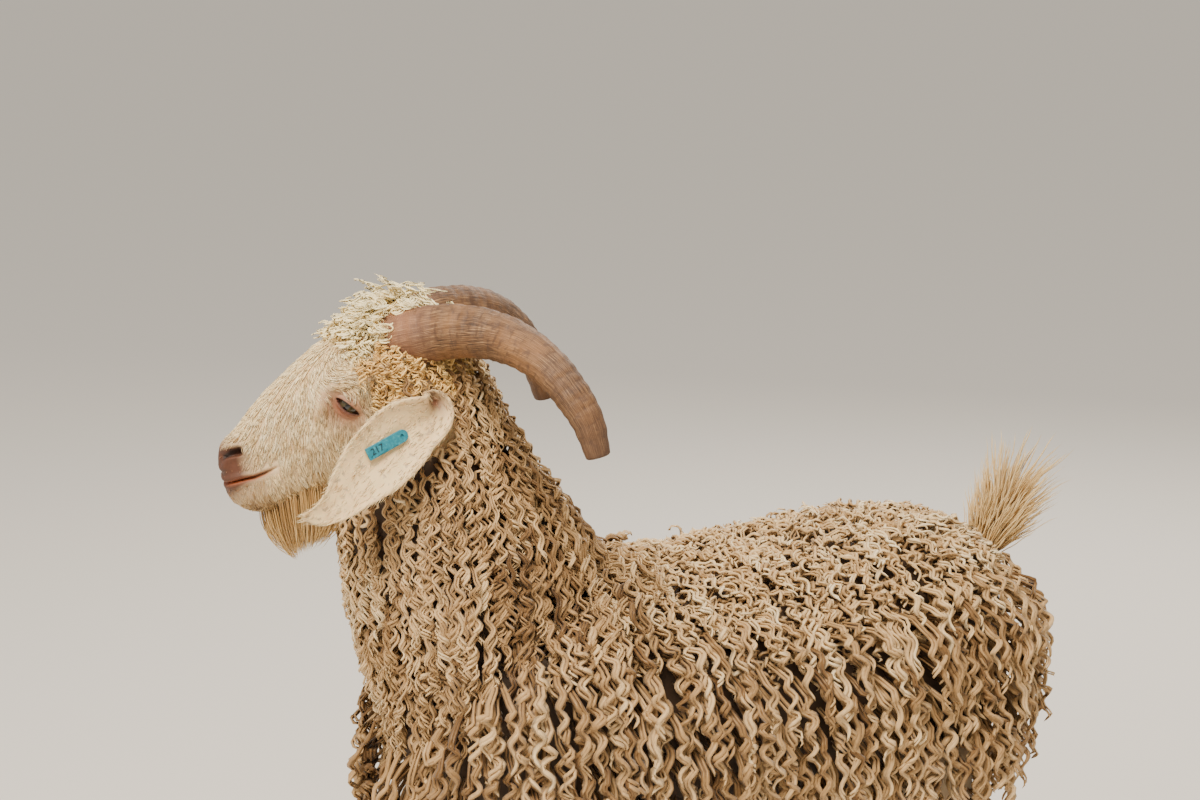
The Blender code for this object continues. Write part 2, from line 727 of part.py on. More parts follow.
def skull_rings(extra, count, sides):
    rows = smooth_rows(HEAD, count)
    rings = []
    angle = np.arange(sides) * 2 * math.pi / sides
    for u, top, bottom, level, half, power in rows:
        cos = np.sign(np.cos(angle)) * np.abs(np.cos(angle)) ** (2 / power)
        sin = np.sign(np.sin(angle)) * np.abs(np.sin(angle)) ** (2 / power)
        tall = np.where(sin > 0, top - level, level - bottom) + extra
        across = cos * (half + extra)
        rings.append(on_head(np.stack((np.full(sides, u), level + sin * tall, across), axis=1)))
    return np.array(rings)


MOUTH = (
    (0.094, -0.0200, 0.0345),
    (0.108, -0.0175, 0.0318),
    (0.127, -0.0130, 0.0278),
    (0.139, -0.0095, 0.0225),
    (0.1455, -0.0075, 0.0120),
    (0.1475, -0.0070, 0.0),
)
NOSTRIL = ((0.1375, 0.0040, 0.0090), (0.1330, 0.0125, 0.0150), (0.1240, 0.0130, 0.0215))


def mouth_path(drop=0.0, out=0.0):
    """The line between the lips from one corner round the front to the other."""
    left = [(u, w - drop, s + out * min(1.0, s / 0.02)) for u, w, s in MOUTH]
    right = [(u, w, -s) for u, w, s in left[-2::-1]]
    return on_head(left + right)


def face_parts():
    """Pieces that stand out from the skull: lids and brows, lips, and the rims of the nostrils."""
    pieces = []
    for side in (1, -1):
        pieces.append(ball("lids", eye_centre(side), EYE_RADIUS + LID, 12, 7, eye_direction(side)))
        brow = [(0.022, 0.010, 0.043), (0.010, 0.022, 0.046), (-0.010, 0.024, 0.048), (-0.024, 0.012, 0.048)]
        halves = [(0.004, 0.004), (0.009, 0.008), (0.009, 0.008), (0.004, 0.004)]
        pieces.append(sweep("brow", on_head(brow, side), halves, 7))
        cheek = [(0.020, -0.030, 0.040), (-0.012, -0.036, 0.043), (-0.045, -0.040, 0.040)]
        halves = [(0.010, 0.014), (0.015, 0.024), (0.010, 0.014)]
        pieces.append(sweep("cheek", on_head(cheek, side), halves, 8, across=LEFT))
        rim = [(0.140, 0.008, 0.010), (0.1345, 0.0175, 0.0155), (0.1220, 0.0180, 0.0200)]
        halves = [(0.003, 0.003), (0.0045, 0.0045), (0.003, 0.003)]
        pieces.append(sweep("rim", on_head(rim, side), halves, 6))
    for drop, size in ((-0.0034, 0.0034), (0.0034, 0.0031)):
        path = mouth_path(drop, -0.0012)
        pieces.append(sweep("lip", path, [(size, size)] * len(path), 5, across=DORSAL))
    chin = [(0.136, -0.026, 0.0), (0.124, -0.036, 0.0)]
    pieces.append(sweep("chin", on_head(chin), [(0.014, 0.012), (0.016, 0.012)], 8, across=LEFT))
    return pieces


def face_cuts():
    """What is cut into the head: the line of the mouth and the nostrils."""
    path = mouth_path(0.0, 0.0025)
    cuts = [sweep("mouth", path, [(0.0011, 0.0042)] * len(path), 4, across=DORSAL)]
    for side in (1, -1):
        cuts.append(sweep("nostril", on_head(NOSTRIL, side), [(0.0022, 0.0032), (0.0032, 0.0042),
                                                              (0.0018, 0.0026)], 6, across=DORSAL))
    return cuts


def tag_shape():
    """A narrow plate with one round end, on a pin through the ear with a stud behind it."""
    path, _, _, out, _, _ = ear_frame(1, 101)
    first = round(TAG_PIN_PLACE * 100)
    pin = Vector(path[first])
    along = (Vector(path[first + 20]) - pin).normalized()
    out = Vector(out[first])
    out = (out - along * out.dot(along)).normalized()
    along = along * math.cos(TAG_TURN) + along.cross(out) * math.sin(TAG_TURN)
    wide = along.cross(out)
    front = TAG_HALF_WIDTH - TAG_PIN_INSET
    outline = []
    for step in range(7):
        turn = math.pi / 2 + math.pi * step / 6
        outline.append((front + TAG_HALF_WIDTH * math.cos(turn), TAG_HALF_WIDTH * math.sin(turn)))
    length = TAG_LENGTH - TAG_PIN_INSET
    outline += [(length, -TAG_HALF_WIDTH), (length, TAG_HALF_WIDTH)]
    rings = []
    for height in (TAG_STANDOFF, TAG_STANDOFF + TAG_THICKNESS):
        rings.append([pin + along * a + wide * b + out * height for a, b in outline])
    plate = closed_mesh("plate", rings)
    pin_top = TAG_STANDOFF + TAG_THICKNESS + TAG_PIN_HEAD
    peg = sweep("peg", [pin - out * TAG_PIN_BACK, pin + out * pin_top], [(TAG_PIN_RADIUS,) * 2] * 2, 8,
                across=along)
    stud = sweep("stud", [pin - out * level for level in TAG_STUD_LEVELS], [(TAG_STUD_RADIUS,) * 2] * 2, 10,
                 across=along)
    bore = TAG_PIN_RADIUS + GAP * 1.5
    hole = sweep("hole", [pin - out * 0.02, pin + out * 0.02], [(bore, bore)] * 2, 8, across=along)
    return joined("ear_tag", [plate, peg, stud]), hole


def foot_frame(rows, side):
    foot = rows[-1]
    return foot[1], side * foot[2]


def claw_shape(rows, side, outer):
    """One half of a hoof: flat sole, sloping toe and a top that slopes back to the heel."""
    x, y = foot_frame(rows, side)
    where = side if outer else -side
    outline = (
        (-CLAW_TOE, 0.10), (-CLAW_TOE * 0.90, 0.45), (-CLAW_TOE * 0.50, 0.88), (0.0, 1.0),
        (CLAW_HEEL * 0.7, 0.85), (CLAW_HEEL, 0.45), (CLAW_HEEL, 0.06), (-CLAW_TOE * 0.5, 0.02),
    )
    rings = []
    levels = ((0.0, 1.0, 0.0), (0.35, 0.99, 0.003), (0.75, 0.93, 0.009), (1.0, 0.86, 0.013))
    for height, shrink, back in levels:
        ring = []
        for along, out in outline:
            spot_x = x + along * shrink + back * (CLAW_HEEL - along) / (CLAW_HEEL + CLAW_TOE)
            slope = (CLAW_HEEL - (spot_x - x)) / (CLAW_HEEL + CLAW_TOE)
            top = CORONET_HEEL + (CORONET_FRONT - CORONET_HEEL) * slope
            spot_y = y + where * (CLEFT / 2 + out * CLAW_WIDTH * shrink)
            ring.append((spot_x, spot_y, height * top))
        rings.append(ring)
    return closed_mesh("claw", rings)


def coronet_block(rows, side):
    """Everything below the top of the hoof, which the leg is cut clear of."""
    x, y = foot_frame(rows, side)
    run = CLAW_HEEL + CLAW_TOE
    slope = math.atan2(CORONET_FRONT - CORONET_HEEL, run)
    normal = Vector((-math.sin(slope), 0.0, -math.cos(slope)))
    middle = Vector((x + (CLAW_HEEL - CLAW_TOE) / 2, y, (CORONET_FRONT + CORONET_HEEL) / 2 + GAP * 1.3))
    block = half_space(middle, normal, 0.12)
    return block


def parting_of_head():
    """A point and the upward normal of the plane that parts head and neck."""
    nape, throat = (Vector(point) for point in on_head([(*PARTING_NAPE, 0), (*PARTING_THROAT, 0)]))
    normal = (throat - nape).cross(LEFT).normalized()
    return (nape + throat) / 2, normal if normal.dot(DORSAL) > 0 else -normal


def parting_of_neck():
    """A point and the upward normal of the plane that parts neck and trunk."""
    return NECK_BASE, Vector((-math.sin(NECK_BASE_TILT), 0.0, math.cos(NECK_BASE_TILT)))


def flesh(*names):
    """Fresh copies of the smooth bodies under the coat."""
    makers = {
        "skull": lambda: closed_mesh("skull", skull_rings(0.0, 18, 18)),
        "neck": lambda: closed_mesh("neck", neck_rings(NECK_FLEECE * CORE_SHARE, 7, 12)),
        "trunk": lambda: closed_mesh("trunk", trunk_rings(FLANK_FLEECE * CORE_SHARE, 13, 18)),
    }
    return [makers[name]() for name in names]


def coat_of(clumps, keep_out):
    """One object of all the clumps, cut clear of the neighbours given."""
    coat = joined("coat", [clump.made() for clump in clumps])
    thinned(coat, COAT_DETAIL)
    if keep_out:
        boolean(coat, keep_out, "DIFFERENCE", keep=True)
    return coat


def build():
    for item in list(bpy.data.objects):
        bpy.data.objects.remove(item)
    draw = random.Random(7)
    leg_rows = {"foreleg": FORELEG, "hindleg": HINDLEG}
    sides = {"left": 1, "right": -1}

    horns = {side: horn_shape(side) for side in (1, -1)}
    ears = {side: ear_blade(side) for side in (1, -1)}
    eyes = {side: ball("eye", eye_centre(side), EYE_RADIUS, axis=eye_direction(side)) for side in (1, -1)}
    tag, pin_hole = tag_shape()

    head = joined("head", flesh("skull", "neck") + face_parts())
    thinned(head, HEAD_DETAIL)
    bare_head = inflated(head, GAP)
    for side in (1, -1):
        boolean(ears[side], [bare_head], "DIFFERENCE", keep=True)
        largest_surface(ears[side])
    remove([bare_head])
    around_head = [inflated(item, GAP * 3) for item in (ears[1], ears[-1], horns[1], horns[-1])]
    around_head.append(inflated(tag, GAP * 2))

    neck_clumps = fleece_clumps(neck_rings(NECK_FLEECE * CORE_SHARE, 61, 72)[18:50], NECK_CLUMPS,
                                NECK_FLEECE * (1 - CORE_SHARE), draw, 0.1)
    trunk_clumps = fleece_clumps(trunk_rings(FLANK_FLEECE * CORE_SHARE, 81, 96), TRUNK_CLUMPS,
                                 FLANK_FLEECE * (1 - CORE_SHARE), draw)
    head_point, head_normal = parting_of_head()
    base_point, base_normal = parting_of_neck()
    head_coat = crown_curls(draw) + beard_locks(draw)
    above = [clump for clump in neck_clumps if clump.beyond(head_point, head_normal) > 0]
    hanging = [clump for clump in head_coat if clump.beyond(head_point, -head_normal) > 0]
    upper = [clump for clump in trunk_clumps if clump.beyond(base_point, base_normal) > 0]
    lower = [clump for clump in neck_clumps if clump.beyond(base_point, -base_normal) > 0]

    head = joined("head", [head, coat_of(head_coat + above, around_head)])
    cuts = face_cuts() + [inflated(tag, GAP * 2)]
    cuts.append(half_space(head_point + head_normal * GAP / 2, -head_normal))
    for side in (1, -1):
        cuts.append(inflated(horns[side], GAP))
        cuts.append(inflated(eyes[side], GAP))
        cuts.append(lid_opening(side))
    boolean(head, cuts, "DIFFERENCE")
    around_ears = inflated(head, GAP)
    for side in (1, -1):
        boolean(ears[side], [head, around_ears], "DIFFERENCE", keep=True)
    remove([around_ears])
    finished(head, "head", COLOURS["face"])

    neck_coat = coat_of(neck_clumps + upper + hanging, around_head)
    neck = joined("neck", flesh("neck", "skull", "trunk") + [neck_coat])
    thinned(neck, NODE_DETAIL)
    boolean(neck, [half_space(head_point - head_normal * GAP / 2, head_normal),
                   half_space(base_point + base_normal * GAP / 2, -base_normal)], "DIFFERENCE")
    finished(neck, "neck", COLOURS["fleece"])
    remove(around_head)

    trunk_block = inflated(flesh("trunk")[0], GAP, keep=False)
    sleeves = []
    for name, rows in leg_rows.items():
        for word, side in sides.items():
            rings = leg_rings(rows, -side, 1.0, 9, 8)
            sleeves.append(closed_mesh("sleeve", rings))
            leg = closed_mesh("leg", leg_rings(rows, -side, CORE_SHARE, 15, 9))
            coated = leg_rings(rows, -side, CORE_SHARE, 61, 48)[LEG_COAT[0]:LEG_COAT[1]]
            coat = coat_of(fleece_clumps(coated, LEG_CLUMPS, LEG_RISE, draw, 0.0), [])
            sleeves[-1] = inflated(sleeves[-1], SLEEVE_EASE, keep=False)
            boolean(coat, [sleeves[-1]], "INTERSECT", keep=True)
            leg = joined("leg", [leg, coat])
            thinned(leg, NODE_DETAIL)
            boolean(leg, [trunk_block], "DIFFERENCE", keep=True)
            boolean(leg, [coronet_block(rows, -side)], "DIFFERENCE")
            if name == "hindleg":
                shank = leg.copy()
                shank.data = leg.data.copy()
                bpy.context.scene.collection.objects.link(shank)
                hock = Vector((0.0, 0.0, HOCK_HEIGHT))
                boolean(shank, [half_space(hock - UP * GAP / 2, UP)], "DIFFERENCE")
                boolean(leg, [half_space(hock + UP * GAP / 2, -UP)], "DIFFERENCE")
                finished(shank, f"hindshank_{word}", COLOURS["fleece"])
            finished(leg, f"{name}_{word}", COLOURS["fleece"])
            for outer, place in ((True, "outer"), (False, "inner")):
                claw = claw_shape(rows, -side, outer)
                finished(claw, f"hoof_{name}_{word}_{place}", COLOURS["hoof"], 0.5)

    dock = sweep("tail", [(x, 0.0, z) for x, z, a, b in TAIL], [(a, b) for x, z, a, b in TAIL], 8)
    tail = joined("tail", [dock] + [lock.made() for lock in tail_locks(draw)])
    boolean(tail, [trunk_block], "DIFFERENCE", keep=True)
    sleeves.append(sweep("sleeve", [(x, 0.0, z) for x, z, a, b in TAIL_SLEEVE],
                         [(a, b) for x, z, a, b in TAIL_SLEEVE], 12))
    boolean(tail, [sleeves[-1]], "INTERSECT", keep=True)
    finished(tail, "tail", COLOURS["fleece"])

    keep_out = [inflated(sleeve, GAP) for sleeve in sleeves]
    torso = joined("torso", flesh("trunk", "neck") + [coat_of(trunk_clumps + lower, keep_out)])
    thinned(torso, NODE_DETAIL)
    boolean(torso, [half_space(base_point - base_normal * GAP / 2, base_normal)], "DIFFERENCE")
    finished(torso, "torso", COLOURS["fleece"])
    remove([trunk_block] + keep_out + sleeves)

    boolean(ears[1], [pin_hole], "DIFFERENCE")
    finished(tag, "ear_tag", COLOURS["tag"], 0.45)
    for side, word in ((1, "left"), (-1, "right")):
        finished(horns[side], f"horn_{word}", COLOURS["horn"], 0.6)
        finished(ears[side], f"ear_{word}", COLOURS["ear"])
        finished(eyes[side], f"eye_{word}", COLOURS["eye"], 0.1)


build()
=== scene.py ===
"""Still, life-size angora goat.

One hide, with eyes, horns, hooves and an ear tag, under a coat of solid tufts and locks."""
import math

import bpy
import numpy as np
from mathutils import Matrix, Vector


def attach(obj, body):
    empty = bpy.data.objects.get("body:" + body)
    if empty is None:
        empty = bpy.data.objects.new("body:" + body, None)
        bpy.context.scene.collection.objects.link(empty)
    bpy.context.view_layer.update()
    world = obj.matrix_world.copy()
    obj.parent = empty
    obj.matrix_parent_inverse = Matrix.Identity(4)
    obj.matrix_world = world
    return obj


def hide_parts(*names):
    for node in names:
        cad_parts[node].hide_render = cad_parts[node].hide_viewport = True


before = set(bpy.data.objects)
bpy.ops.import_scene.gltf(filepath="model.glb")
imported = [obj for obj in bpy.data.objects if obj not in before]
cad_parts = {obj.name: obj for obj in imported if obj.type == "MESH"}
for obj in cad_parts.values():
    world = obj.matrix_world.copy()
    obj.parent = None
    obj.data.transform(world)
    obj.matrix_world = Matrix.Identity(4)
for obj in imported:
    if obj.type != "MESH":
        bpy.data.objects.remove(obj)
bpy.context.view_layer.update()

# The hide of the trunk, neck, legs and tail.
# It is one soft skin over the whole body, worked out as lofts through measured sections,
# which are then melted together so that no seam is left between them.
SHIFT = np.array((-0.017, -0.001, 0.0))
HIDE_EASE = 0.008  # how far the skin lies outside the measured sections
HIDE_GRAIN = 0.0066  # the cells in which the lofts are melted together
HIDE_SOFTENING = 6  # rounds of smoothing
# Trunk: x, height of the middle, half width, rise above it, drop below it
TRUNK = np.array((
    (-0.288, 0.470, 0.018, 0.024, 0.028), (-0.262, 0.470, 0.070, 0.085, 0.095),
    (-0.200, 0.475, 0.104, 0.118, 0.146), (-0.100, 0.465, 0.120, 0.130, 0.158),
    (0.030, 0.457, 0.136, 0.128, 0.152), (0.160, 0.462, 0.136, 0.130, 0.138),
    (0.270, 0.475, 0.122, 0.124, 0.115), (0.350, 0.487, 0.096, 0.098, 0.105),
    (0.398, 0.487, 0.056, 0.058, 0.065), (0.414, 0.487, 0.016, 0.018, 0.020),
))
TRUNK_SQUARENESS = 2.3
# Neck: x, y, height of its middle, half width, half depth from throat to nape
NECK = np.array((
    (-0.135, 0.000, 0.430, 0.085, 0.120), (-0.190, 0.000, 0.530, 0.079, 0.110),
    (-0.232, 0.002, 0.620, 0.070, 0.096), (-0.260, 0.006, 0.700, 0.060, 0.081),
    (-0.278, 0.012, 0.770, 0.053, 0.069), (-0.296, 0.018, 0.835, 0.044, 0.056),
))
# Legs: height, x, y, half length fore and aft, half width
FORELEG = np.array((
    (0.450, -0.172, 0.066, 0.052, 0.036), (0.400, -0.176, 0.082, 0.052, 0.040),
    (0.340, -0.180, 0.089, 0.041, 0.035), (0.290, -0.183, 0.089, 0.031, 0.027),
    (0.245, -0.185, 0.088, 0.0245, 0.0215), (0.210, -0.187, 0.087, 0.0210, 0.0195),
    (0.183, -0.189, 0.086, 0.0225, 0.0210), (0.155, -0.187, 0.086, 0.0180, 0.0170),
    (0.120, -0.185, 0.086, 0.0138, 0.0128), (0.085, -0.184, 0.086, 0.0140, 0.0130),
    (0.062, -0.187, 0.086, 0.0190, 0.0175), (0.044, -0.192, 0.086, 0.0180, 0.0175),
    (0.024, -0.196, 0.086, 0.0190, 0.0180),
))
HINDLEG = np.array((
    (0.490, 0.270, 0.058, 0.070, 0.040), (0.430, 0.268, 0.084, 0.082, 0.048),
    (0.380, 0.268, 0.094, 0.068, 0.044), (0.335, 0.280, 0.097, 0.049, 0.035),
    (0.298, 0.300, 0.098, 0.037, 0.028), (0.263, 0.322, 0.096, 0.0285, 0.0215),
    (0.236, 0.337, 0.095, 0.0245, 0.0190), (0.208, 0.337, 0.095, 0.0215, 0.0180),
    (0.172, 0.330, 0.095, 0.0165, 0.0148), (0.130, 0.323, 0.095, 0.0148, 0.0132),
    (0.090, 0.317, 0.095, 0.0148, 0.0134), (0.063, 0.312, 0.095, 0.0192, 0.0175),
    (0.044, 0.306, 0.095, 0.0180, 0.0175), (0.024, 0.302, 0.095, 0.0190, 0.0180),
))
# Tail: x, y, height of its middle, half width, half depth
TAIL = np.array((
    (0.360, 0.0, 0.500, 0.024, 0.022), (0.400, 0.0, 0.540, 0.020, 0.018),
    (0.425, 0.0, 0.568, 0.016, 0.014), (0.440, 0.0, 0.594, 0.013, 0.011), (0.448, 0.0, 0.616, 0.007, 0.007),
))
LEGS = {("foreleg", -1): FORELEG, ("foreleg", 1): FORELEG, ("hindleg", -1): HINDLEG, ("hindleg", 1): HINDLEG}


def rows_at(rows, at):
    """A smooth curve through every row, read at shares of its length: cubic pieces whose slopes are
    those of the rows on either side."""
    step = np.linalg.norm(np.diff(rows[:, :3], axis=0), axis=1)
    place = np.concatenate(([0.0], np.cumsum(step)))
    slope = np.gradient(rows, place, axis=0)
    at = np.asarray(at) * place[-1]
    left = np.clip(np.searchsorted(place, at, side="right") - 1, 0, len(rows) - 2)
    width = (place[left + 1] - place[left])[:, None]
    t = (at - place[left])[:, None] / width
    start = (2 * t**3 - 3 * t**2 + 1) * rows[left] + (t**3 - 2 * t**2 + t) * width * slope[left]
    end = (3 * t**2 - 2 * t**3) * rows[left + 1] + (t**3 - t**2) * width * slope[left + 1]
    return start + end


def unit(vectors):
    """Each vector divided by its own length."""
    return vectors / np.maximum(np.linalg.norm(vectors, axis=-1, keepdims=True), 1e-9)


def section(sides, power=2.0):
    """One turn of a rounded section: cosine and sine, each raised to two over its squareness."""
    angle = np.arange(sides) * 2 * math.pi / sides
    cos, sin = np.cos(angle), np.sin(angle)
    return (np.sign(cos) * np.abs(cos) ** (2 / power), np.sign(sin) * np.abs(sin) ** (2 / power))


def mesh_object(name, points, triangles, smooth=True):
    """A new mesh object made from whole arrays of points and of three corners each."""
    mesh = bpy.data.meshes.new(name)
    mesh.vertices.add(len(points))
    mesh.loops.add(triangles.size)
    mesh.polygons.add(len(triangles))
    mesh.vertices.foreach_set("co", np.ascontiguousarray(points, dtype=np.float32).ravel())
    mesh.loops.foreach_set("vertex_index", np.ascontiguousarray(triangles, dtype=np.int32).ravel())
    mesh.polygons.foreach_set("loop_start", np.arange(0, triangles.size, 3, dtype=np.int32))
    mesh.update(calc_edges=True)
    mesh.validate()
    mesh.polygons.foreach_set("use_smooth", np.full(len(mesh.polygons), smooth))
    made = bpy.data.objects.new(name, mesh)
    bpy.context.scene.collection.objects.link(made)
    return made


def grid_triangles(count, sides):
    """Corners of a closed tube of rings: two triangles for each cell, and at each end a fan to a
    middle point."""
    row, side = np.meshgrid(np.arange(count - 1), np.arange(sides), indexing="ij")
    a = (row * sides + side).ravel()
    b = (row * sides + (side + 1) % sides).ravel()
    body = np.concatenate((np.stack((a, b, b + sides), 1), np.stack((a, b + sides, a + sides), 1)))
    ring = np.arange(sides)
    after = (ring + 1) % sides
    last = (count - 1) * sides
    first_fan = np.stack((after, ring, np.full(sides, count * sides)), 1)
    last_fan = np.stack((last + ring, last + after, np.full(sides, count * sides + 1)), 1)
    return np.concatenate((body, first_fan, last_fan))


def signed_volume(points, triangles):
    """A sixth of the sum of each triangle's triple product."""
    a, b, c = (points[triangles[:, corner]] for corner in range(3))
    return np.einsum("ij,ij->i", a, np.cross(b, c)).sum() / 6


def tube(name, rings, smooth=True):
    """A closed solid through rings of points, turned so that its faces point outwards."""
    rings = np.asarray(rings, dtype=float)
    count, sides = rings.shape[:2]
    points = np.concatenate((rings.reshape(-1, 3), [rings[0].mean(axis=0)], [rings[-1].mean(axis=0)]))
    triangles = grid_triangles(count, sides)
    if signed_volume(points, triangles) < 0:
        triangles = triangles[:, ::-1]
    return mesh_object(name, points, triangles, smooth)


def sweep_rings(path, halves, sides, across, power=2.0):
    """Rings along a path: at each point two half sizes, the first along the given across direction."""
    path = np.asarray(path, dtype=float)
    along = unit(np.gradient(path, axis=0))
    first = np.broadcast_to(np.asarray(across, dtype=float), path.shape)
    first = unit(first - (first * along).sum(axis=1)[:, None] * along)
    second = np.cross(along, first)
    halves = np.asarray(halves, dtype=float)
    cos, sin = section(sides, power)
    return (path[:, None, :] + halves[:, 0, None, None] * cos[None, :, None] * first[:, None, :]
            + halves[:, 1, None, None] * sin[None, :, None] * second[:, None, :])


def trunk_rings(ease, count, sides):
    """Upright slices across the trunk, wider by ease all round."""
    rows = rows_at(TRUNK, np.linspace(0, 1, count))
    cos, sin = section(sides, TRUNK_SQUARENESS)
    tall = np.where(sin > 0, rows[:, 3:4], rows[:, 4:5]) + ease
    wide = cos * (rows[:, 2:3] + ease)
    return np.stack((np.repeat(rows[:, 0:1], sides, 1), wide, rows[:, 1:2] + sin * tall), axis=2) + SHIFT


def neck_rings(ease, count, sides):
    """Slices square to the neck's axis, wider by ease all round."""
    rows = rows_at(NECK, np.linspace(0, 1, count))
    return sweep_rings(rows[:, :3] + SHIFT, rows[:, 3:5] + ease, sides, (0.0, -1.0, 0.0))


def leg_rings(rows, side, count, sides):
    """Level slices down one leg."""
    rows = rows_at(rows, np.linspace(0, 1, count))
    cos, sin = section(sides)
    return np.stack((rows[:, 1:2] + cos * rows[:, 3:4], side * rows[:, 2:3] + sin * rows[:, 4:5],
                     np.repeat(rows[:, 0:1], sides, 1)), axis=2) + SHIFT


def applied(target):
    """Turn an object's modifiers into its mesh."""
    graph = bpy.context.evaluated_depsgraph_get()
    mesh = bpy.data.meshes.new_from_object(target.evaluated_get(graph))
    target.modifiers.clear()
    old, target.data = target.data, mesh
    bpy.data.meshes.remove(old)


def discard(items):
    """Take away objects that have done their work."""
    for item in items:
        mesh = item.data
        bpy.data.objects.remove(item)
        bpy.data.meshes.remove(mesh)


def put_together(name, solids, cut=False):
    """Join closed solids into one by a Boolean union, or cut the first by the rest."""
    group = bpy.data.collections.new(name)
    for item in solids[1:]:
        group.objects.link(item)
    modifier = solids[0].modifiers.new(name, "BOOLEAN")
    modifier.operation = "DIFFERENCE" if cut else "UNION"
    modifier.solver = "MANIFOLD"
    modifier.operand_type = "COLLECTION"
    modifier.collection = group
    applied(solids[0])
    bpy.data.collections.remove(group)
    discard(solids[1:])
    return solids[0]


def points_of(mesh, what="vertices", field="co"):
    """All of a mesh's coordinates or normals as one array."""
    source = getattr(mesh, what)
    values = np.empty(len(source) * 3, dtype=np.float32)
    source.foreach_get(field, values)
    return values.reshape(-1, 3).astype(float)


lofts = [tube("trunk", trunk_rings(HIDE_EASE, 61, 64)), tube("neck", neck_rings(HIDE_EASE, 30, 48))]
for (leg_name, leg_side), leg_rows in LEGS.items():
    lofts.append(tube(leg_name, leg_rings(leg_rows, leg_side, 60, 28)))
tail_rows = rows_at(TAIL, np.linspace(0, 1, 16))
lofts.append(tube("tail", sweep_rings(tail_rows[:, :3] + SHIFT, tail_rows[:, 3:5], 16, (0.0, 1.0, 0.0))))
body = put_together("body", lofts)
melt = body.modifiers.new("melt", "REMESH")
melt.mode = "VOXEL"
melt.voxel_size = HIDE_GRAIN
soften = body.modifiers.new("soften", "SMOOTH")
soften.factor = 0.5
soften.iterations = HIDE_SOFTENING
applied(body)

# The head.
# A long wedge of bone with a straight nose; over it the thin skin folds into lids, nostrils and lips.
# It is one grid of places along and round the head, pushed in and out where those folds lie.
HEAD_PLACE = np.array((-0.340, 0.030, 0.800)) + SHIFT
HEAD_PITCH = math.radians(35)  # nose down
HEAD_YAW = math.radians(20)  # turned to the goat's right
LEVEL = np.array((-math.cos(HEAD_YAW), math.sin(HEAD_YAW), 0.0))
UP = np.array((0.0, 0.0, 1.0))
FORWARD = LEVEL * math.cos(HEAD_PITCH) - UP * math.sin(HEAD_PITCH)
DORSAL = LEVEL * math.sin(HEAD_PITCH) + UP * math.cos(HEAD_PITCH)
LEFT = np.array((-math.sin(HEAD_YAW), -math.cos(HEAD_YAW), 0.0))
HEAD_TURN = np.array((FORWARD, DORSAL, LEFT))
# Along the head: forward, top, bottom, level of the widest point, half width, squareness
HEAD = np.array((
    (-0.094, 0.006, -0.030, -0.010, 0.016, 2.0), (-0.088, 0.026, -0.048, -0.008, 0.036, 2.0),
    (-0.070, 0.043, -0.062, -0.006, 0.047, 2.1), (-0.038, 0.053, -0.071, -0.003, 0.052, 2.2),
    (0.000, 0.0560, -0.0735, -0.001, 0.0530, 2.3), (0.034, 0.0520, -0.0695, 0.000, 0.0495, 2.4),
    (0.062, 0.0485, -0.0620, -0.003, 0.0425, 2.4), (0.092, 0.0405, -0.0540, -0.006, 0.0345, 2.4),
    (0.116, 0.0325, -0.0470, -0.007, 0.0290, 2.4), (0.130, 0.0265, -0.0400, -0.007, 0.0270, 2.4),
    (0.1385, 0.0165, -0.0345, -0.0080, 0.0240, 2.3), (0.1445, 0.0025, -0.0285, -0.0100, 0.0185, 2.2),
    (0.149, -0.0060, -0.0205, -0.0125, 0.0105, 2.0),
))
HEAD_ROUND = 288
HEAD_LONG = 236
EYE = np.array((0.0, 0.0, 0.0430))  # centre of the eyeball: forward, dorsal, sideways
EYE_RADIUS = 0.0135
LID_RADIUS = 0.0163
EYE_LOOK = unit(np.array((0.30, 0.10, 0.95)))
EYE_SLANT = math.radians(71)
LID_LENGTH = 0.0128  # half length of the opening
LID_UPPER = 0.0034
LID_LOWER = 0.0040
LID_SPREAD = 0.024  # how far from the eye's middle the lids reach
LID_BLEND = 0.0022
ASIDE_SHARE = np.array((1.0, 1.0, 0.5))  # how far each direction counts for the mouth and the nostrils
MOUTH = ASIDE_SHARE * ((0.0945, -0.0105, 0.0345), (0.1050, -0.0090, 0.0322), (0.1170, -0.0062, 0.0292),
                       (0.1300, -0.0010, 0.0270), (0.1370, 0.0012, 0.0238), (0.1425, 0.0022, 0.0162),
                       (0.1446, 0.0026, 0.0))
NOSTRIL = ASIDE_SHARE * ((0.1335, 0.0180, 0.0075), (0.1285, 0.0235, 0.0110), (0.1215, 0.0238, 0.0165),
                         (0.1140, 0.0218, 0.0225))


def on_head(points, side=1):
    """World places of points given as forward, dorsal and sideways on the head."""
    return (np.asarray(points, dtype=float) * (1.0, 1.0, side)) @ HEAD_TURN + HEAD_PLACE


def in_head(points):
    """The same places back as forward, dorsal and sideways."""
    return (points - HEAD_PLACE) @ HEAD_TURN.T


def both_sides(points):
    """Places on the head with its right side folded over onto the left."""
    return points * (1, 1, 0) + np.abs(points) * (0, 0, 1)


def crowded(count, bumps):
    """Shares from 0 to 1 that stand closer together near each bump, given as centre, width and gain."""
    fine = np.linspace(0, 1, 4001)
    density = 1 + sum(gain * np.exp(-(((fine - centre) / width) ** 2)) for centre, width, gain in bumps)
    total = np.concatenate(([0.0], np.cumsum((density[1:] + density[:-1]) / 2)))
    return np.interp(np.linspace(0, 1, count), total / total[-1], fine)


def hump(points, centre, sizes):
    """A smooth hill of height one: e to the minus sum of squares of the distance over each size."""
    return np.exp(-(((points - np.asarray(centre)) / np.asarray(sizes)) ** 2).sum(axis=-1))


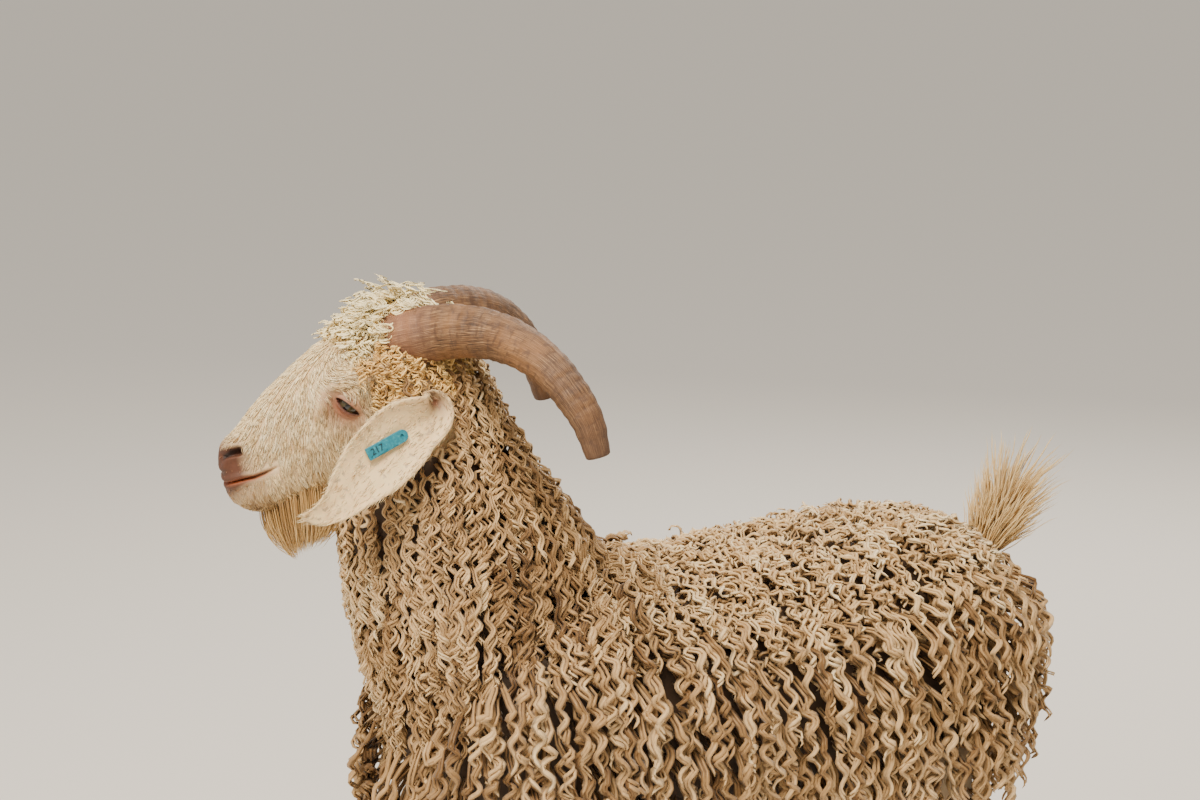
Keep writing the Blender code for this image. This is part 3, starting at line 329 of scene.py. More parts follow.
def off_line(points, path):
    """Distance from each point to the nearest stretch of a path, and the share along the path there."""
    best = np.full(points.shape[:-1], 9.0)
    share = np.zeros(points.shape[:-1])
    for item, (start, end) in enumerate(zip(path[:-1], path[1:])):
        run = end - start
        t = np.clip(((points - start) @ run) / (run @ run), 0, 1)
        gap = np.linalg.norm(points - start - t[..., None] * run, axis=-1)
        nearer = gap < best
        best = np.where(nearer, gap, best)
        share = np.where(nearer, (item + t) / (len(path) - 1), share)
    return best, share


def eye_axes():
    """The slit's long direction, the direction across it and the direction that the eye looks."""
    along = np.array((math.cos(EYE_SLANT), math.sin(EYE_SLANT), 0.0))
    along = unit(along - EYE_LOOK * (along @ EYE_LOOK))
    return np.array((along, np.cross(EYE_LOOK, along), EYE_LOOK))


EYE_AXES = eye_axes()


def relief(points):
    """How far the head's skin stands out: hills for brow, cheek, chin and lips, and hollows for the
    mouth, the nostrils and the skin before the eye. All is the same on both sides."""
    p = both_sides(points)
    rise = np.zeros(p.shape[:-1])
    brow, share = off_line(p, np.array(((0.026, 0.012, 0.044), (0.012, 0.025, 0.047), (-0.012, 0.027, 0.049),
                                        (-0.028, 0.012, 0.050))))
    rise += 0.0062 * np.exp(-((brow / 0.0085) ** 2))
    rise += 0.0050 * hump(p, (-0.018, -0.036, 0.050), (0.034, 0.022, 0.030))
    rise += 0.0030 * hump(p, (0.040, -0.012, 0.048), (0.028, 0.008, 0.030))
    rise -= 0.0030 * hump(p, (0.050, 0.018, 0.044), (0.024, 0.012, 0.030))
    rise -= 0.0022 * hump(p, (0.080, -0.004, 0.038), (0.022, 0.010, 0.020))
    rise -= 0.0026 * hump(p, (0.030, -0.060, 0.030), (0.050, 0.012, 0.026))
    rise += 0.0040 * hump(p, (0.130, -0.038, 0.0), (0.016, 0.014, 0.018))
    rise += 0.0030 * hump(p, (0.120, 0.031, 0.012), (0.014, 0.010, 0.010))
    mouth, share = off_line(p * ASIDE_SHARE, MOUTH)
    above = (p[..., 1] > np.interp(p[..., 0], MOUTH[:, 0], MOUTH[:, 1])).astype(float)
    lip = np.exp(-(((mouth - 0.0040) / 0.0030) ** 2)) * np.clip(share * 4, 0.25, 1)
    rise += lip * (0.0016 + 0.0008 * above)
    rise -= 0.0050 * np.exp(-((mouth / 0.0011) ** 2)) * np.clip(share * 6 + 0.25, 0, 1)
    slit, share = off_line(p * ASIDE_SHARE, NOSTRIL)
    rise += 0.0026 * np.exp(-(((slit - 0.0052) / 0.0026) ** 2))
    rise -= 0.0090 * np.exp(-((slit / (0.0015 + 0.0019 * share)) ** 2))
    rise -= 0.0012 * np.exp(-((p[..., 2] / 0.0012) ** 2)) * hump(p, (0.146, 0.000, 0.0), (0.010, 0.010, 0.01))
    return rise


def lid_height(a, b, c):
    """The skin's height over the plane of the eye: the higher of the skin itself and a ball with a low
    skirt round it, run softly into each other."""
    reach = np.sqrt(a**2 + b**2)
    ball = np.sqrt(np.maximum(LID_RADIUS**2 - reach**2, 0.0)) - 0.30 * np.maximum(reach - 0.0150, 0)
    return LID_BLEND * np.logaddexp(c / LID_BLEND, ball / LID_BLEND)


def lid_opening(a, b):
    """Half the height of the almond opening: the lid's own height times one less the square of the share
    of its length, raised to three quarters."""
    return np.where(b > 0, LID_UPPER, LID_LOWER) * np.maximum(1 - (a / LID_LENGTH) ** 2, 0.0) ** 0.75


def lids(points):
    """Round each eye the skin rises to a ball about the eyeball; inside the almond opening it falls
    behind the eyeball, and fine creases follow the edge above and below."""
    p = both_sides(points)
    local = (p - EYE) @ EYE_AXES.T
    a, b, c = local[..., 0], local[..., 1], local[..., 2]
    reach = np.sqrt(a**2 + b**2)
    near = (reach < LID_SPREAD) & (c > -0.004)
    lifted = lid_height(a, b, c)
    past = np.abs(b) - lid_opening(a, b)
    wide = np.clip(1.25 - reach / 0.0165, 0, 1)
    lifted = lifted + 0.0011 * np.exp(-(((past - 0.0010) / 0.0011) ** 2)) * wide
    for place, depth in ((0.0042, 0.0011), (0.0078, 0.0007)):
        lifted = lifted - depth * np.exp(-(((past - place) / 0.0009) ** 2)) * wide
    inside = np.clip(0.5 - past / 0.0007, 0, 1) * (np.abs(a) < LID_LENGTH)
    lifted = np.where(near, lifted * (1 - inside) + inside * EYE_RADIUS * 0.35, c)
    p = p + ((lifted - c) * near)[..., None] * EYE_LOOK
    return np.concatenate((p[..., :2], (p[..., 2] * np.where(points[..., 2] < 0, -1, 1))[..., None]), axis=-1)


def head_points():
    """The grid of the head: each ring is a rounded section with its own top, bottom and width."""
    along = crowded(HEAD_LONG, ((0.40, 0.055, 2.2), (0.93, 0.08, 2.4)))
    rows = rows_at(HEAD, along)
    angle = crowded(HEAD_ROUND + 1, ((0.0, 0.05, 1.6), (1.0, 0.05, 1.6), (0.5, 0.05, 1.6)))[:-1] * 2 * math.pi
    cos, sin = np.cos(angle)[None, :], np.sin(angle)[None, :]
    power = 2 / rows[:, 5:6]
    cos, sin = np.sign(cos) * np.abs(cos) ** power, np.sign(sin) * np.abs(sin) ** power
    tall = np.where(sin > 0, rows[:, 1:2] - rows[:, 3:4], rows[:, 3:4] - rows[:, 2:3])
    places = (np.repeat(rows[:, 0:1], HEAD_ROUND, 1), rows[:, 3:4] + sin * tall, cos * rows[:, 4:5])
    return np.stack(places, axis=2)


head_grid = head_points()
round_step = np.roll(head_grid, -1, axis=1) - np.roll(head_grid, 1, axis=1)
head_out = unit(np.cross(np.gradient(head_grid, axis=0), round_step))
head_middle = np.array((0.03, -0.005, 0.0))
head_out *= np.sign((head_out * (head_grid - head_middle)).sum(axis=2, keepdims=True).mean())
head = tube("head", on_head(lids(head_grid + head_out * relief(head_grid)[..., None])))

# The ears.
# Each is a broad drooping leaf of thin gristle, rolled at its root, with its hollow side turned out.
# Both are sunk at the root into the side of the head.
# Ear: forward, dorsal, sideways, half width, and the degrees through which it is rolled
EAR = np.array((
    (-0.052, -0.034, 0.034, 0.0115, 180), (-0.065, -0.045, 0.056, 0.0150, 168),
    (-0.056, -0.048, 0.077, 0.0240, 125), (-0.0345, -0.044, 0.087, 0.0330, 96),
    (-0.0141, -0.0442, 0.094, 0.0365, 78), (0.0056, -0.0465, 0.100, 0.0355, 70),
    (0.0243, -0.0496, 0.105, 0.0320, 62), (0.0441, -0.0535, 0.109, 0.0250, 56),
    (0.0631, -0.0565, 0.112, 0.0185, 50), (0.0826, -0.0540, 0.115, 0.0115, 42),
    (0.0980, -0.0470, 0.117, 0.0035, 30),
))
EAR_FACING = np.array((0.25, 0.0, 1.0))
EAR_THICKNESS = (0.0062, 0.0024)


def ear_frame(side, at):
    """Places along an ear's middle, the directions along, across and out of it, half widths and rolls."""
    rows = rows_at(EAR, at)
    path = on_head(rows[:, :3], side)
    along = unit(np.gradient(path, axis=0))
    facing = (EAR_FACING * (1, 1, side)) @ HEAD_TURN
    out = unit(facing - (along @ facing)[:, None] * along)
    return path, along, np.cross(along, out), out, rows[:, 3], np.radians(rows[:, 4])


def ear_rings(side, count=64, sides=19):
    """Two leaves a thickness apart, each an arc across the ear that turns by the roll there; fine
    waves run along the edges and ribs along the hollow."""
    at = np.linspace(0, 1, count)
    path, _, wide, out, half, roll = ear_frame(side, at)
    thick = np.linspace(*EAR_THICKNESS, count)
    spread = np.linspace(-1, 1, sides)
    radius = (2 * half / roll)[:, None]
    turn = roll[:, None] / 2 * spread[None, :]
    wave = 0.0011 * np.abs(spread) ** 3 * np.sin(at[:, None] * 17 + spread[None, :] * 2.0)
    ribs = 0.0005 * np.cos(spread[None, :] * 9.0) * np.sin(math.pi * at)[:, None]
    edge = 1 - 0.62 * spread**6
    leaves = []
    for face in (-1, 1):
        reach = radius - face * thick[:, None] / 2 * edge[None, :] + wave + (ribs if face > 0 else 0.0)
        across = (reach * np.sin(turn))[..., None] * wide[:, None, :]
        lift = (radius - reach * np.cos(turn))[..., None] * out[:, None, :]
        leaves.append(path[:, None, :] + across + lift)
    return np.concatenate((leaves[0], leaves[1][:, ::-1]), axis=1)


ears = [tube("ear", ear_rings(side)) for side in (1, -1)]
hide = put_together("hide", [body, head] + ears)
hide.name = "hide"
hide.data.name = "hide"
hide.data.polygons.foreach_set("use_smooth", np.full(len(hide.data.polygons), True))

# The colours of the hide.
# How far a place lies outside each part's sections tells which part it belongs to. From that come its
# markings: the dark muzzle, the rims of the eyes, the ears, and the painted shade on the hide that lies under the
# wool.


def ray_depth(across, up, half, tall, power):
    """Distance past a rounded section's edge along the ray from its middle: the reach, times one less
    the inverse of the section's own measure of that place."""
    measure = ((np.abs(across) / half) ** power + (np.abs(up) / tall) ** power) ** (1 / power)
    return np.hypot(across, up) * (1 - 1 / np.maximum(measure, 1e-4))


def trunk_depth(points):
    """How far points lie outside the trunk's measured sections, and where: share along, and angle round."""
    p = points - SHIFT
    half, rise, drop = (np.interp(p[..., 0], TRUNK[:, 0], TRUNK[:, column]) for column in (2, 3, 4))
    up = p[..., 2] - np.interp(p[..., 0], TRUNK[:, 0], TRUNK[:, 1])
    depth = ray_depth(p[..., 1], up, half, np.where(up > 0, rise, drop), TRUNK_SQUARENESS)
    past = np.maximum(TRUNK[0, 0] - p[..., 0], p[..., 0] - TRUNK[-1, 0])
    share = (p[..., 0] - TRUNK[0, 0]) / (TRUNK[-1, 0] - TRUNK[0, 0])
    return np.maximum(depth, past), share, np.arctan2(p[..., 1], up)


NECK_AXIS = unit(NECK[-1, :3] - NECK[0, :3])
NECK_ALONG = (NECK[:, :3] - NECK[0, :3]) @ NECK_AXIS
NECK_FRONT = unit(np.cross(NECK_AXIS, np.array((0.0, -1.0, 0.0))))


def neck_depth(points):
    """The same for the neck, with its angle measured from the throat."""
    p = points - SHIFT
    t = (p - NECK[0, :3]) @ NECK_AXIS
    centre = np.stack([np.interp(t, NECK_ALONG, NECK[:, column]) for column in range(3)], axis=-1)
    side, front = (p - centre)[..., 1], (p - centre) @ NECK_FRONT
    half, deep = (np.interp(t, NECK_ALONG, NECK[:, column]) for column in (3, 4))
    depth = ray_depth(side, front, half, deep, 2.0)
    past = np.maximum(-t, t - NECK_ALONG[-1])
    return np.maximum(depth, past), t / NECK_ALONG[-1], np.arctan2(side, front)


def leg_depth(points, rows, side):
    """The same for one leg, with its share measured down from the top."""
    p = points - SHIFT
    level = p[..., 2]
    x, y, length, width = (np.interp(level, rows[::-1, 0], rows[::-1, column]) for column in (1, 2, 3, 4))
    across, along = side * p[..., 1] - y, p[..., 0] - x
    depth = ray_depth(across, along, width, length, 2.0)
    share = (rows[0, 0] - level) / (rows[0, 0] - rows[-1, 0])
    past = np.maximum(level - rows[0, 0], rows[-1, 0] - level)
    return np.maximum(depth, past), share, np.arctan2(across, along)


def nearest_leg(points):
    """The least of the depths for the four legs."""
    return np.min([leg_depth(points, rows, side)[0] for (_, side), rows in LEGS.items()], axis=0)


def head_depth(points):
    """The same for the head, with its share measured forward from the poll."""
    u, w, s = np.moveaxis(in_head(points), -1, 0)
    top, bottom, level, half, power = (np.interp(u, HEAD[:, 0], HEAD[:, column]) for column in range(1, 6))
    up = w - level
    depth = ray_depth(s, up, half, np.where(up > 0, top - level, level - bottom), power)
    past = np.maximum(HEAD[0, 0] - u, u - HEAD[-1, 0])
    return np.maximum(depth, past), (u - HEAD[0, 0]) / (HEAD[-1, 0] - HEAD[0, 0]), np.arctan2(s, -up)


def all_depths(points):
    """Depths, shares and angles of every part: trunk, neck, head and the four legs."""
    found = [trunk_depth(points), neck_depth(points), head_depth(points)]
    found += [leg_depth(points, rows, side) for (_, side), rows in LEGS.items()]
    return [np.stack(values) for values in zip(*found)]


EAR_STATIONS = 40
# Where each part lies in the square of the coat's UV map: left, low, width, height
PATCHES = np.array(((0.02, 0.52, 0.56, 0.46), (0.62, 0.52, 0.36, 0.46), (0.02, 0.02, 0.36, 0.46),
                    (0.42, 0.02, 0.12, 0.46), (0.56, 0.02, 0.12, 0.46), (0.70, 0.02, 0.12, 0.46),
                    (0.84, 0.02, 0.12, 0.46)))


def unwrapped(points):
    """Each place on the hide laid out flat: share along its part and angle round it, in that part's patch."""
    depth, share, angle = all_depths(points)
    part = depth.argmin(axis=0)
    pick = np.arange(len(points))
    place = np.stack((np.clip(share[part, pick], 0, 1), angle[part, pick] / (2 * math.pi) + 0.5), axis=1)
    return PATCHES[part, :2] + place * PATCHES[part, 2:]


def eased(value, low, high):
    """Nought below low, one above high and a smooth S between."""
    t = np.clip((value - low) / (high - low), 0, 1)
    return t * t * (3 - 2 * t)


def ear_share(points, side):
    """For each point the nearest of the ear's stations, the distance from its middle line and its frame."""
    path, along, wide, out, half, _ = ear_frame(side, np.linspace(0, 1, EAR_STATIONS))
    gap = np.linalg.norm(points[:, None, :] - path[None, :, :], axis=2)
    near = gap.argmin(axis=1)
    offset = points - path[near]
    across = (offset * wide[near]).sum(axis=1) / half[near]
    return near / (EAR_STATIONS - 1), across, gap.min(axis=1), along[near], out[near]


def is_ear(points):
    """Which points lie on an ear, clear of the head itself."""
    side = np.where(in_head(points)[:, 2] > 0, 1, -1)
    found = np.zeros(len(points), dtype=bool)
    for which in (1, -1):
        share, _, gap, _, _ = ear_share(points, which)
        found |= (side == which) & (share > 0.10) & (gap < 0.047) & (head_depth(points)[0] > 0.006)
    return found & (np.abs(in_head(points)[:, 2]) > 0.045)


def eye_ring(points):
    """Place about the nearer eye: along the slit, across it, and outwards."""
    return (both_sides(in_head(points)) - EYE) @ EYE_AXES.T


def markings(points):
    """How much each place is muzzle, rim of the eye, ear, and hide hidden under wool, which is painted in shade, from
    0 to 1.
    """
    h = in_head(points)
    folded = both_sides(h)
    head = eased(-head_depth(points)[0], -0.030, -0.018)
    mouth, share = off_line(folded * ASIDE_SHARE, MOUTH)
    slit = off_line(folded * ASIDE_SHARE, NOSTRIL)[0]
    muzzle = 2.2 * hump(h, (0.137, 0.010, 0.0), (0.0235, 0.0225, 0.038))
    muzzle += 0.60 * np.exp(-((mouth / 0.0034) ** 2)) * eased(share, 0.0, 0.3)
    muzzle += 0.65 * np.exp(-((slit / 0.0060) ** 2))
    notch = hump(folded, (-0.066, -0.044, 0.064), (0.013, 0.014, 0.018))
    ring = eye_ring(points)
    eye = np.exp(-(((ring[:, 0] - 0.002) / 0.0235) ** 2 + ((ring[:, 1] + 0.0035) / 0.0165) ** 2) ** 1.4)
    eye *= np.abs(ring[:, 2] - 0.012) < 0.02
    ear = is_ear(points).astype(float)
    # Hide under the wool, which the skin material paints in deep shade
    wool = 1 - np.clip(head * eased(h[:, 0], -0.060, -0.030) + ear, 0, 1)
    wool *= 1 - 0.55 * head
    limb = nearest_leg(points)
    wool *= 1 - 0.45 * (limb < trunk_depth(points)[0]) * eased(0.42 - points[:, 2], 0.0, 0.05)
    legs = (limb < 0.010) & (points[:, 2] < 0.20)
    wool = wool * (1 - eased(0.235 - points[:, 2], 0.0, 0.04) * (points[:, 2] < 0.25))
    muzzle = np.clip(np.clip(muzzle, 0, 1) * head + notch, 0, 1)
    return np.stack((muzzle, np.clip(eye, 0, 1), ear, wool * (1 - legs)), axis=1)


def deep_marks(points):
    """How much each place is the inside of a nostril, painted in shade, the lip, the edge of the eyelids with painted
    shade inside the opening, and the chin, painted in shade, from 0 to 1.
    """
    h = in_head(points)
    folded = both_sides(h)
    head = eased(-head_depth(points)[0], -0.030, -0.018)
    mouth, share = off_line(folded * ASIDE_SHARE, MOUTH)
    slit, along = off_line(folded * ASIDE_SHARE, NOSTRIL)
    nostril_shade = np.exp(-((slit / (0.0020 + 0.0016 * along)) ** 4))
    lip = np.exp(-((mouth / 0.0024) ** 2)) * eased(share, 0.0, 0.25)
    a, b, c = eye_ring(points).T
    beyond = np.hypot(np.maximum(np.abs(b) - lid_opening(a, b), 0), np.maximum(np.abs(a) - LID_LENGTH, 0))
    rim = np.exp(-((beyond / 0.0014) ** 2)) * (np.abs(c - 0.010) < 0.012)
    chin = hump(h, (0.128, -0.030, 0.0), (0.028, 0.017, 0.036))
    return np.stack((nostril_shade * head, lip * head, rim * head, chin * head), axis=1)


def give_attribute(piece, name, values):
    """Keep one colour-like value of four numbers at each point of a piece."""
    layer = piece.data.attributes.new(name, "FLOAT_COLOR", "POINT")
    layer.data.foreach_set("color", np.ascontiguousarray(values, dtype=np.float32).ravel())


def new_material(name):
    """A material with its nodes, links and shader at hand."""
    paint = bpy.data.materials.new(name)
    paint.use_nodes = True
    nodes, links = paint.node_tree.nodes, paint.node_tree.links
    return paint, nodes, links, nodes["Principled BSDF"]


def mixed(nodes, links, share, first, second, way="MIX"):
    """One colour laid over another by a share; each may be a socket or a fixed value."""
    node = nodes.new("ShaderNodeMix")
    node.data_type = "RGBA"
    node.blend_type = way
    for socket, value in ((node.inputs[0], share), (node.inputs[6], first), (node.inputs[7], second)):
        if isinstance(value, bpy.types.NodeSocket):
            links.new(value, socket)
        elif isinstance(value, (int, float)):
            socket.default_value = value
        else:
            socket.default_value = (*value, 1.0)
    return node.outputs[2]


def noise(nodes, links, scale, detail=3.0, stretch=(1, 1, 1)):
    """Cloudy noise in object space, drawn out along an axis where stretch is small."""
    place = nodes.new("ShaderNodeTexCoord")
    mapping = nodes.new("ShaderNodeMapping")
    mapping.inputs["Scale"].default_value = stretch
    links.new(place.outputs["Object"], mapping.inputs["Vector"])
    node = nodes.new("ShaderNodeTexNoise")
    node.inputs["Scale"].default_value = scale
    node.inputs["Detail"].default_value = detail
    links.new(mapping.outputs[0], node.inputs["Vector"])
    return node.outputs["Fac"]


def ramp(nodes, links, value, stops):
    """A colour for each value, by stops of place and colour."""
    node = nodes.new("ShaderNodeValToRGB")
    links.new(value, node.inputs[0])
    while len(node.color_ramp.elements) < len(stops):
        node.color_ramp.elements.new(0.5)
    for element, (place, colour) in zip(node.color_ramp.elements, stops):
        element.position = place
        element.color = (*colour, 1.0) if len(colour) == 3 else colour
    return node.outputs[0]


def attribute(nodes, links, name):
    """The four numbers of a point attribute as separate sockets."""
    node = nodes.new("ShaderNodeAttribute")
    node.attribute_name = name
    parts = nodes.new("ShaderNodeSeparateColor")
    links.new(node.outputs["Color"], parts.inputs[0])
    return [*parts.outputs, node.outputs["Alpha"]]


def bumped(nodes, links, shader, height, strength, distance):
    """Fine relief from a height."""
    node = nodes.new("ShaderNodeBump")
    node.inputs["Strength"].default_value = strength
    node.inputs["Distance"].default_value = distance
    links.new(height, node.inputs["Height"])
    links.new(node.outputs[0], shader.inputs["Normal"])


hide_points = points_of(hide.data)
hide_out = points_of(hide.data, "vertex_normals", "vector")
give_attribute(hide, "marks", markings(hide_points))
give_attribute(hide, "deep", deep_marks(hide_points))
skin_paint, nodes, links, shader = new_material("skin")
muzzle, eye_rim, ear_part, wool_shade = attribute(nodes, links, "marks")
cloud = noise(nodes, links, 55.0)
skin = mixed(nodes, links, cloud, (0.60, 0.41, 0.23), (0.78, 0.60, 0.37))
freckle = ramp(nodes, links, noise(nodes, links, 150.0, 4.0), ((0.58, (0, 0, 0)), (0.66, (1, 1, 1))))
ear_skin = mixed(nodes, links, cloud, (0.76, 0.49, 0.25), (0.94, 0.74, 0.41))
ear_skin = mixed(nodes, links, mixed(nodes, links, 0.60, (0, 0, 0), freckle), ear_skin, (0.30, 0.23, 0.17))
skin = mixed(nodes, links, ear_part, skin, ear_skin)
muzzle_skin = mixed(nodes, links, noise(nodes, links, 120.0), (0.050, 0.014, 0.005), (0.120, 0.036, 0.013))
skin = mixed(nodes, links, muzzle, skin, muzzle_skin)
rim_skin = mixed(nodes, links, cloud, (0.14, 0.040, 0.018), (0.34, 0.120, 0.055))
skin = mixed(nodes, links, eye_rim, skin, rim_skin)
# Painted shade: the hide under the wool is made near black so that the gaps between the locks read as shadow
skin = mixed(nodes, links, wool_shade, skin, (0.062, 0.034, 0.017))
nostril_shade, lip, lid_edge_and_shade, chin_shade = attribute(nodes, links, "deep")
# Painted shade under the lower lip, over the chin
skin = mixed(nodes, links, chin_shade, skin, (0.36, 0.235, 0.115))
skin = mixed(nodes, links, lip, skin, (0.33, 0.085, 0.026))
# Painted shade: the inside of each nostril is made near black
skin = mixed(nodes, links, nostril_shade, skin, (0.020, 0.008, 0.005))
# Dark edges of the eyelids, with painted shade inside the opening behind them
skin = mixed(nodes, links, lid_edge_and_shade, skin, (0.070, 0.024, 0.015))
links.new(skin, shader.inputs["Base Color"])
shader.inputs["Roughness"].default_value = 0.62
shader.inputs["Subsurface Weight"].default_value = 0.08
shader.inputs["Subsurface Radius"].default_value = (0.006, 0.002, 0.001)
bumped(nodes, links, shader, noise(nodes, links, 900.0, 4.0), 0.35, 0.0006)
hide.data.materials.clear()
hide.data.materials.append(skin_paint)
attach(hide, "root")
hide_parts("head", "neck", "torso", "tail", "foreleg_left", "foreleg_right", "hindleg_left",
            "hindleg_right", "hindshank_left", "hindshank_right", "ear_left", "ear_right")

# The eyes.
# Glossy balls with a dark olive iris and a level slot of a pupil, seen between heavy lids.
# The colours follow rings about the direction that each eye looks, kept as an attribute.


def eyeball(side, word):
    """A ball whose points know how far they lie from the middle of the iris, and along and across the
    slot."""
    count, sides = 26, 40
    polar = np.linspace(0.02, math.pi - 0.02, count)
    angle = np.arange(sides) * 2 * math.pi / sides
    look = unit((EYE_LOOK * (1, 1, side)) @ HEAD_TURN)
    level = unit(FORWARD - look * (FORWARD @ look))
    high = np.cross(look, level)
    spoke = np.cos(angle)[None, :, None] * level + np.sin(angle)[None, :, None] * high
    ring = np.sin(polar)[:, None, None] * spoke
    swell = 1 + 0.05 * np.exp(-((polar / 0.55) ** 2))[:, None, None]
    centre = on_head([EYE], side)[0]
    made = tube(word, centre + EYE_RADIUS * swell * (np.cos(polar)[:, None, None] * look + ring))
    local = unit(points_of(made.data) - centre)
    away = np.arccos(np.clip(local @ look, -1, 1)) / math.pi
    gaze = np.stack((away, np.abs(local @ level), np.abs(local @ high), np.ones(len(local))), axis=1)
    give_attribute(made, "gaze", gaze)
    return made


eye_paint, nodes, links, shader = new_material("eye")
out_from_middle, slot_along, slot_across, _ = attribute(nodes, links, "gaze")
iris = mixed(nodes, links, noise(nodes, links, 1500.0), (0.026, 0.022, 0.010), (0.105, 0.083, 0.038))
ball_colour = ramp(nodes, links, out_from_middle, ((0.20, (1, 1, 1)), (0.235, (0, 0, 0))))
colour = mixed(nodes, links, ball_colour, (0.11, 0.050, 0.030), iris)
pupil_high = ramp(nodes, links, slot_across, ((0.12, (1, 1, 1)), (0.17, (0, 0, 0))))
pupil_long = ramp(nodes, links, slot_along, ((0.34, (1, 1, 1)), (0.40, (0, 0, 0))))
pupil = mixed(nodes, links, 1.0, pupil_high, pupil_long, "MULTIPLY")
links.new(mixed(nodes, links, pupil, colour, (0.004, 0.004, 0.005)), shader.inputs["Base Color"])
shader.inputs["Roughness"].default_value = 0.06
shader.inputs["Coat Weight"].default_value = 0.6
for side, word in ((1, "left"), (-1, "right")):
    ball = eyeball(side, f"eyeball_{word}")
    ball.data.materials.append(eye_paint)
    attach(ball, "root")
    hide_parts(f"eye_{word}")

# The horns.
# Sheaths of grown horn that sweep back, out and down, with shallow growth rings and lengthwise fibres,
# pinkish where they leave the skin and worn blunt at the tips.
# Horn: forward, dorsal, sideways, radius
HORN = np.array((
    (-0.060, 0.024, 0.020, 0.0250), (-0.084, 0.016, 0.033, 0.0270), (-0.118, 0.002, 0.052, 0.0260),
    (-0.144, -0.016, 0.074, 0.0238), (-0.161, -0.036, 0.098, 0.0215), (-0.172, -0.062, 0.122, 0.0190),
    (-0.175, -0.093, 0.142, 0.0175), (-0.172, -0.125, 0.155, 0.0152), (-0.161, -0.156, 0.161, 0.0118),
))
HORN_FLATNESS = 0.86
HORN_RIDGES = 23


def horn_rings(side, count=190, sides=64):
    """The horn's sections, with rings that swell and pinch unevenly along it, a keel at the front and
    fine flutes round it; the last rings close in over a blunt tip."""
    at = np.concatenate((np.linspace(0, 1, count - 4), np.full(4, 1.0)))
    rows = rows_at(HORN, at)
    path = on_head(rows[:, :3], side)
    end = unit(path[count - 6] - path[count - 9])
    path[-4:] = path[-5] + np.outer((0.0012, 0.0021, 0.0027, 0.0030), end)
    close = np.ones(count)
    close[-4:] = (0.93, 0.80, 0.55, 0.20)
    beat = np.sin(at * HORN_RIDGES * 2 * math.pi + 1.3 * np.sin(at * 17))
    rings = 0.019 * beat * (0.4 + 0.6 * at) + 0.030 * np.exp(-(((at - 0.86) / 0.012) ** 2))
    rings += 0.012 * np.sin(at * 9 * 2 * math.pi)
    radius = rows[:, 3] * (1 + rings) * close
    shape = sweep_rings(path, np.stack((radius * HORN_FLATNESS, radius), 1), sides, LEFT * side)
    angle = np.arange(sides) * 2 * math.pi / sides
    flute = 1 + 0.006 * np.cos(angle * 13)[None, :] + 0.004 * np.cos(angle[None, :] * 7 + at[:, None] * 9)
    keel = 1 + 0.05 * np.exp(-((np.angle(np.exp(1j * (angle - math.pi / 2))) / 0.5) ** 2))[None, :]
    middle = shape.mean(axis=1, keepdims=True)
    return middle + (shape - middle) * (flute * keel)[..., None], np.repeat(at[:, None], sides, 1), angle


def stretched_noise(nodes, links, sources, gains, scale, detail):
    """Cloudy noise in a space of three numbers, each multiplied by its own gain."""
    place = nodes.new("ShaderNodeCombineXYZ")
    for source, gain, socket in zip(sources, gains, place.inputs):
        scaled = nodes.new("ShaderNodeMath")
        scaled.operation = "MULTIPLY"
        scaled.inputs[1].default_value = gain
        links.new(source, scaled.inputs[0])
        links.new(scaled.outputs[0], socket)
    node = nodes.new("ShaderNodeTexNoise")
    node.inputs["Scale"].default_value = scale
    node.inputs["Detail"].default_value = detail
    links.new(place.outputs[0], node.inputs["Vector"])
    return node.outputs["Fac"]


horn_paint, nodes, links, shader = new_material("horn")
horn_space = attribute(nodes, links, "horn")[:3]
along_horn = horn_space[0]
fibres = stretched_noise(nodes, links, horn_space, (5.0, 26.0, 26.0), 3.2, 6.0)
ridges = stretched_noise(nodes, links, horn_space, (38.0, 3.0, 3.0), 1.6, 3.0)
broad = noise(nodes, links, 26.0, 4.0)
horn_colour = ramp(nodes, links, fibres,
                   ((0.34, (0.022, 0.010, 0.005)), (0.47, (0.092, 0.042, 0.018)), (0.57, (0.205, 0.103, 0.044)),
                    (0.70, (0.42, 0.255, 0.120))))
warm = ramp(nodes, links, broad, ((0.44, (0, 0, 0)), (0.68, (0.42, 0.42, 0.42))))
horn_colour = mixed(nodes, links, warm, horn_colour, (0.33, 0.145, 0.045))
cracks = ramp(nodes, links, ridges, ((0.34, (0.60, 0.60, 0.60)), (0.48, (0, 0, 0))))
horn_colour = mixed(nodes, links, cracks, horn_colour, (0.060, 0.027, 0.014))
root = ramp(nodes, links, along_horn, ((0.0, (1, 1, 1)), (0.09, (0.75, 0.75, 0.75)), (0.24, (0, 0, 0))))
root = mixed(nodes, links, 1.0, root, broad, "MULTIPLY")
horn_colour = mixed(nodes, links, root, horn_colour, (0.40, 0.185, 0.115))
tip = ramp(nodes, links, along_horn, ((0.80, (0, 0, 0)), (1.0, (0.6, 0.6, 0.6))))
links.new(mixed(nodes, links, tip, horn_colour, (0.085, 0.040, 0.020)), shader.inputs["Base Color"])
shader.inputs["Roughness"].default_value = 0.56
grain = nodes.new("ShaderNodeMath")
links.new(fibres, grain.inputs[0])
links.new(ridges, grain.inputs[1])
bumped(nodes, links, shader, grain.outputs[0], 0.42, 0.0024)
for side, word in ((1, "left"), (-1, "right")):
    rings, shares, angle = horn_rings(side)
    sheath = tube(f"horn_sheath_{word}", rings)
    flat = np.zeros((len(sheath.data.vertices), 4))
    flat[:-2, 0] = shares.ravel()
    flat[-1, 0] = 1.0
    flat[:-2, 1] = np.tile(np.cos(angle) * 0.5 + 0.5, len(shares))
    flat[:-2, 2] = np.tile(np.sin(angle) * 0.5 + 0.5, len(shares))
    flat[:, 3] = 1.0
    give_attribute(sheath, "horn", flat)
    sheath.data.materials.append(horn_paint)
    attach(sheath, "root")
    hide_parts(f"horn_{word}")

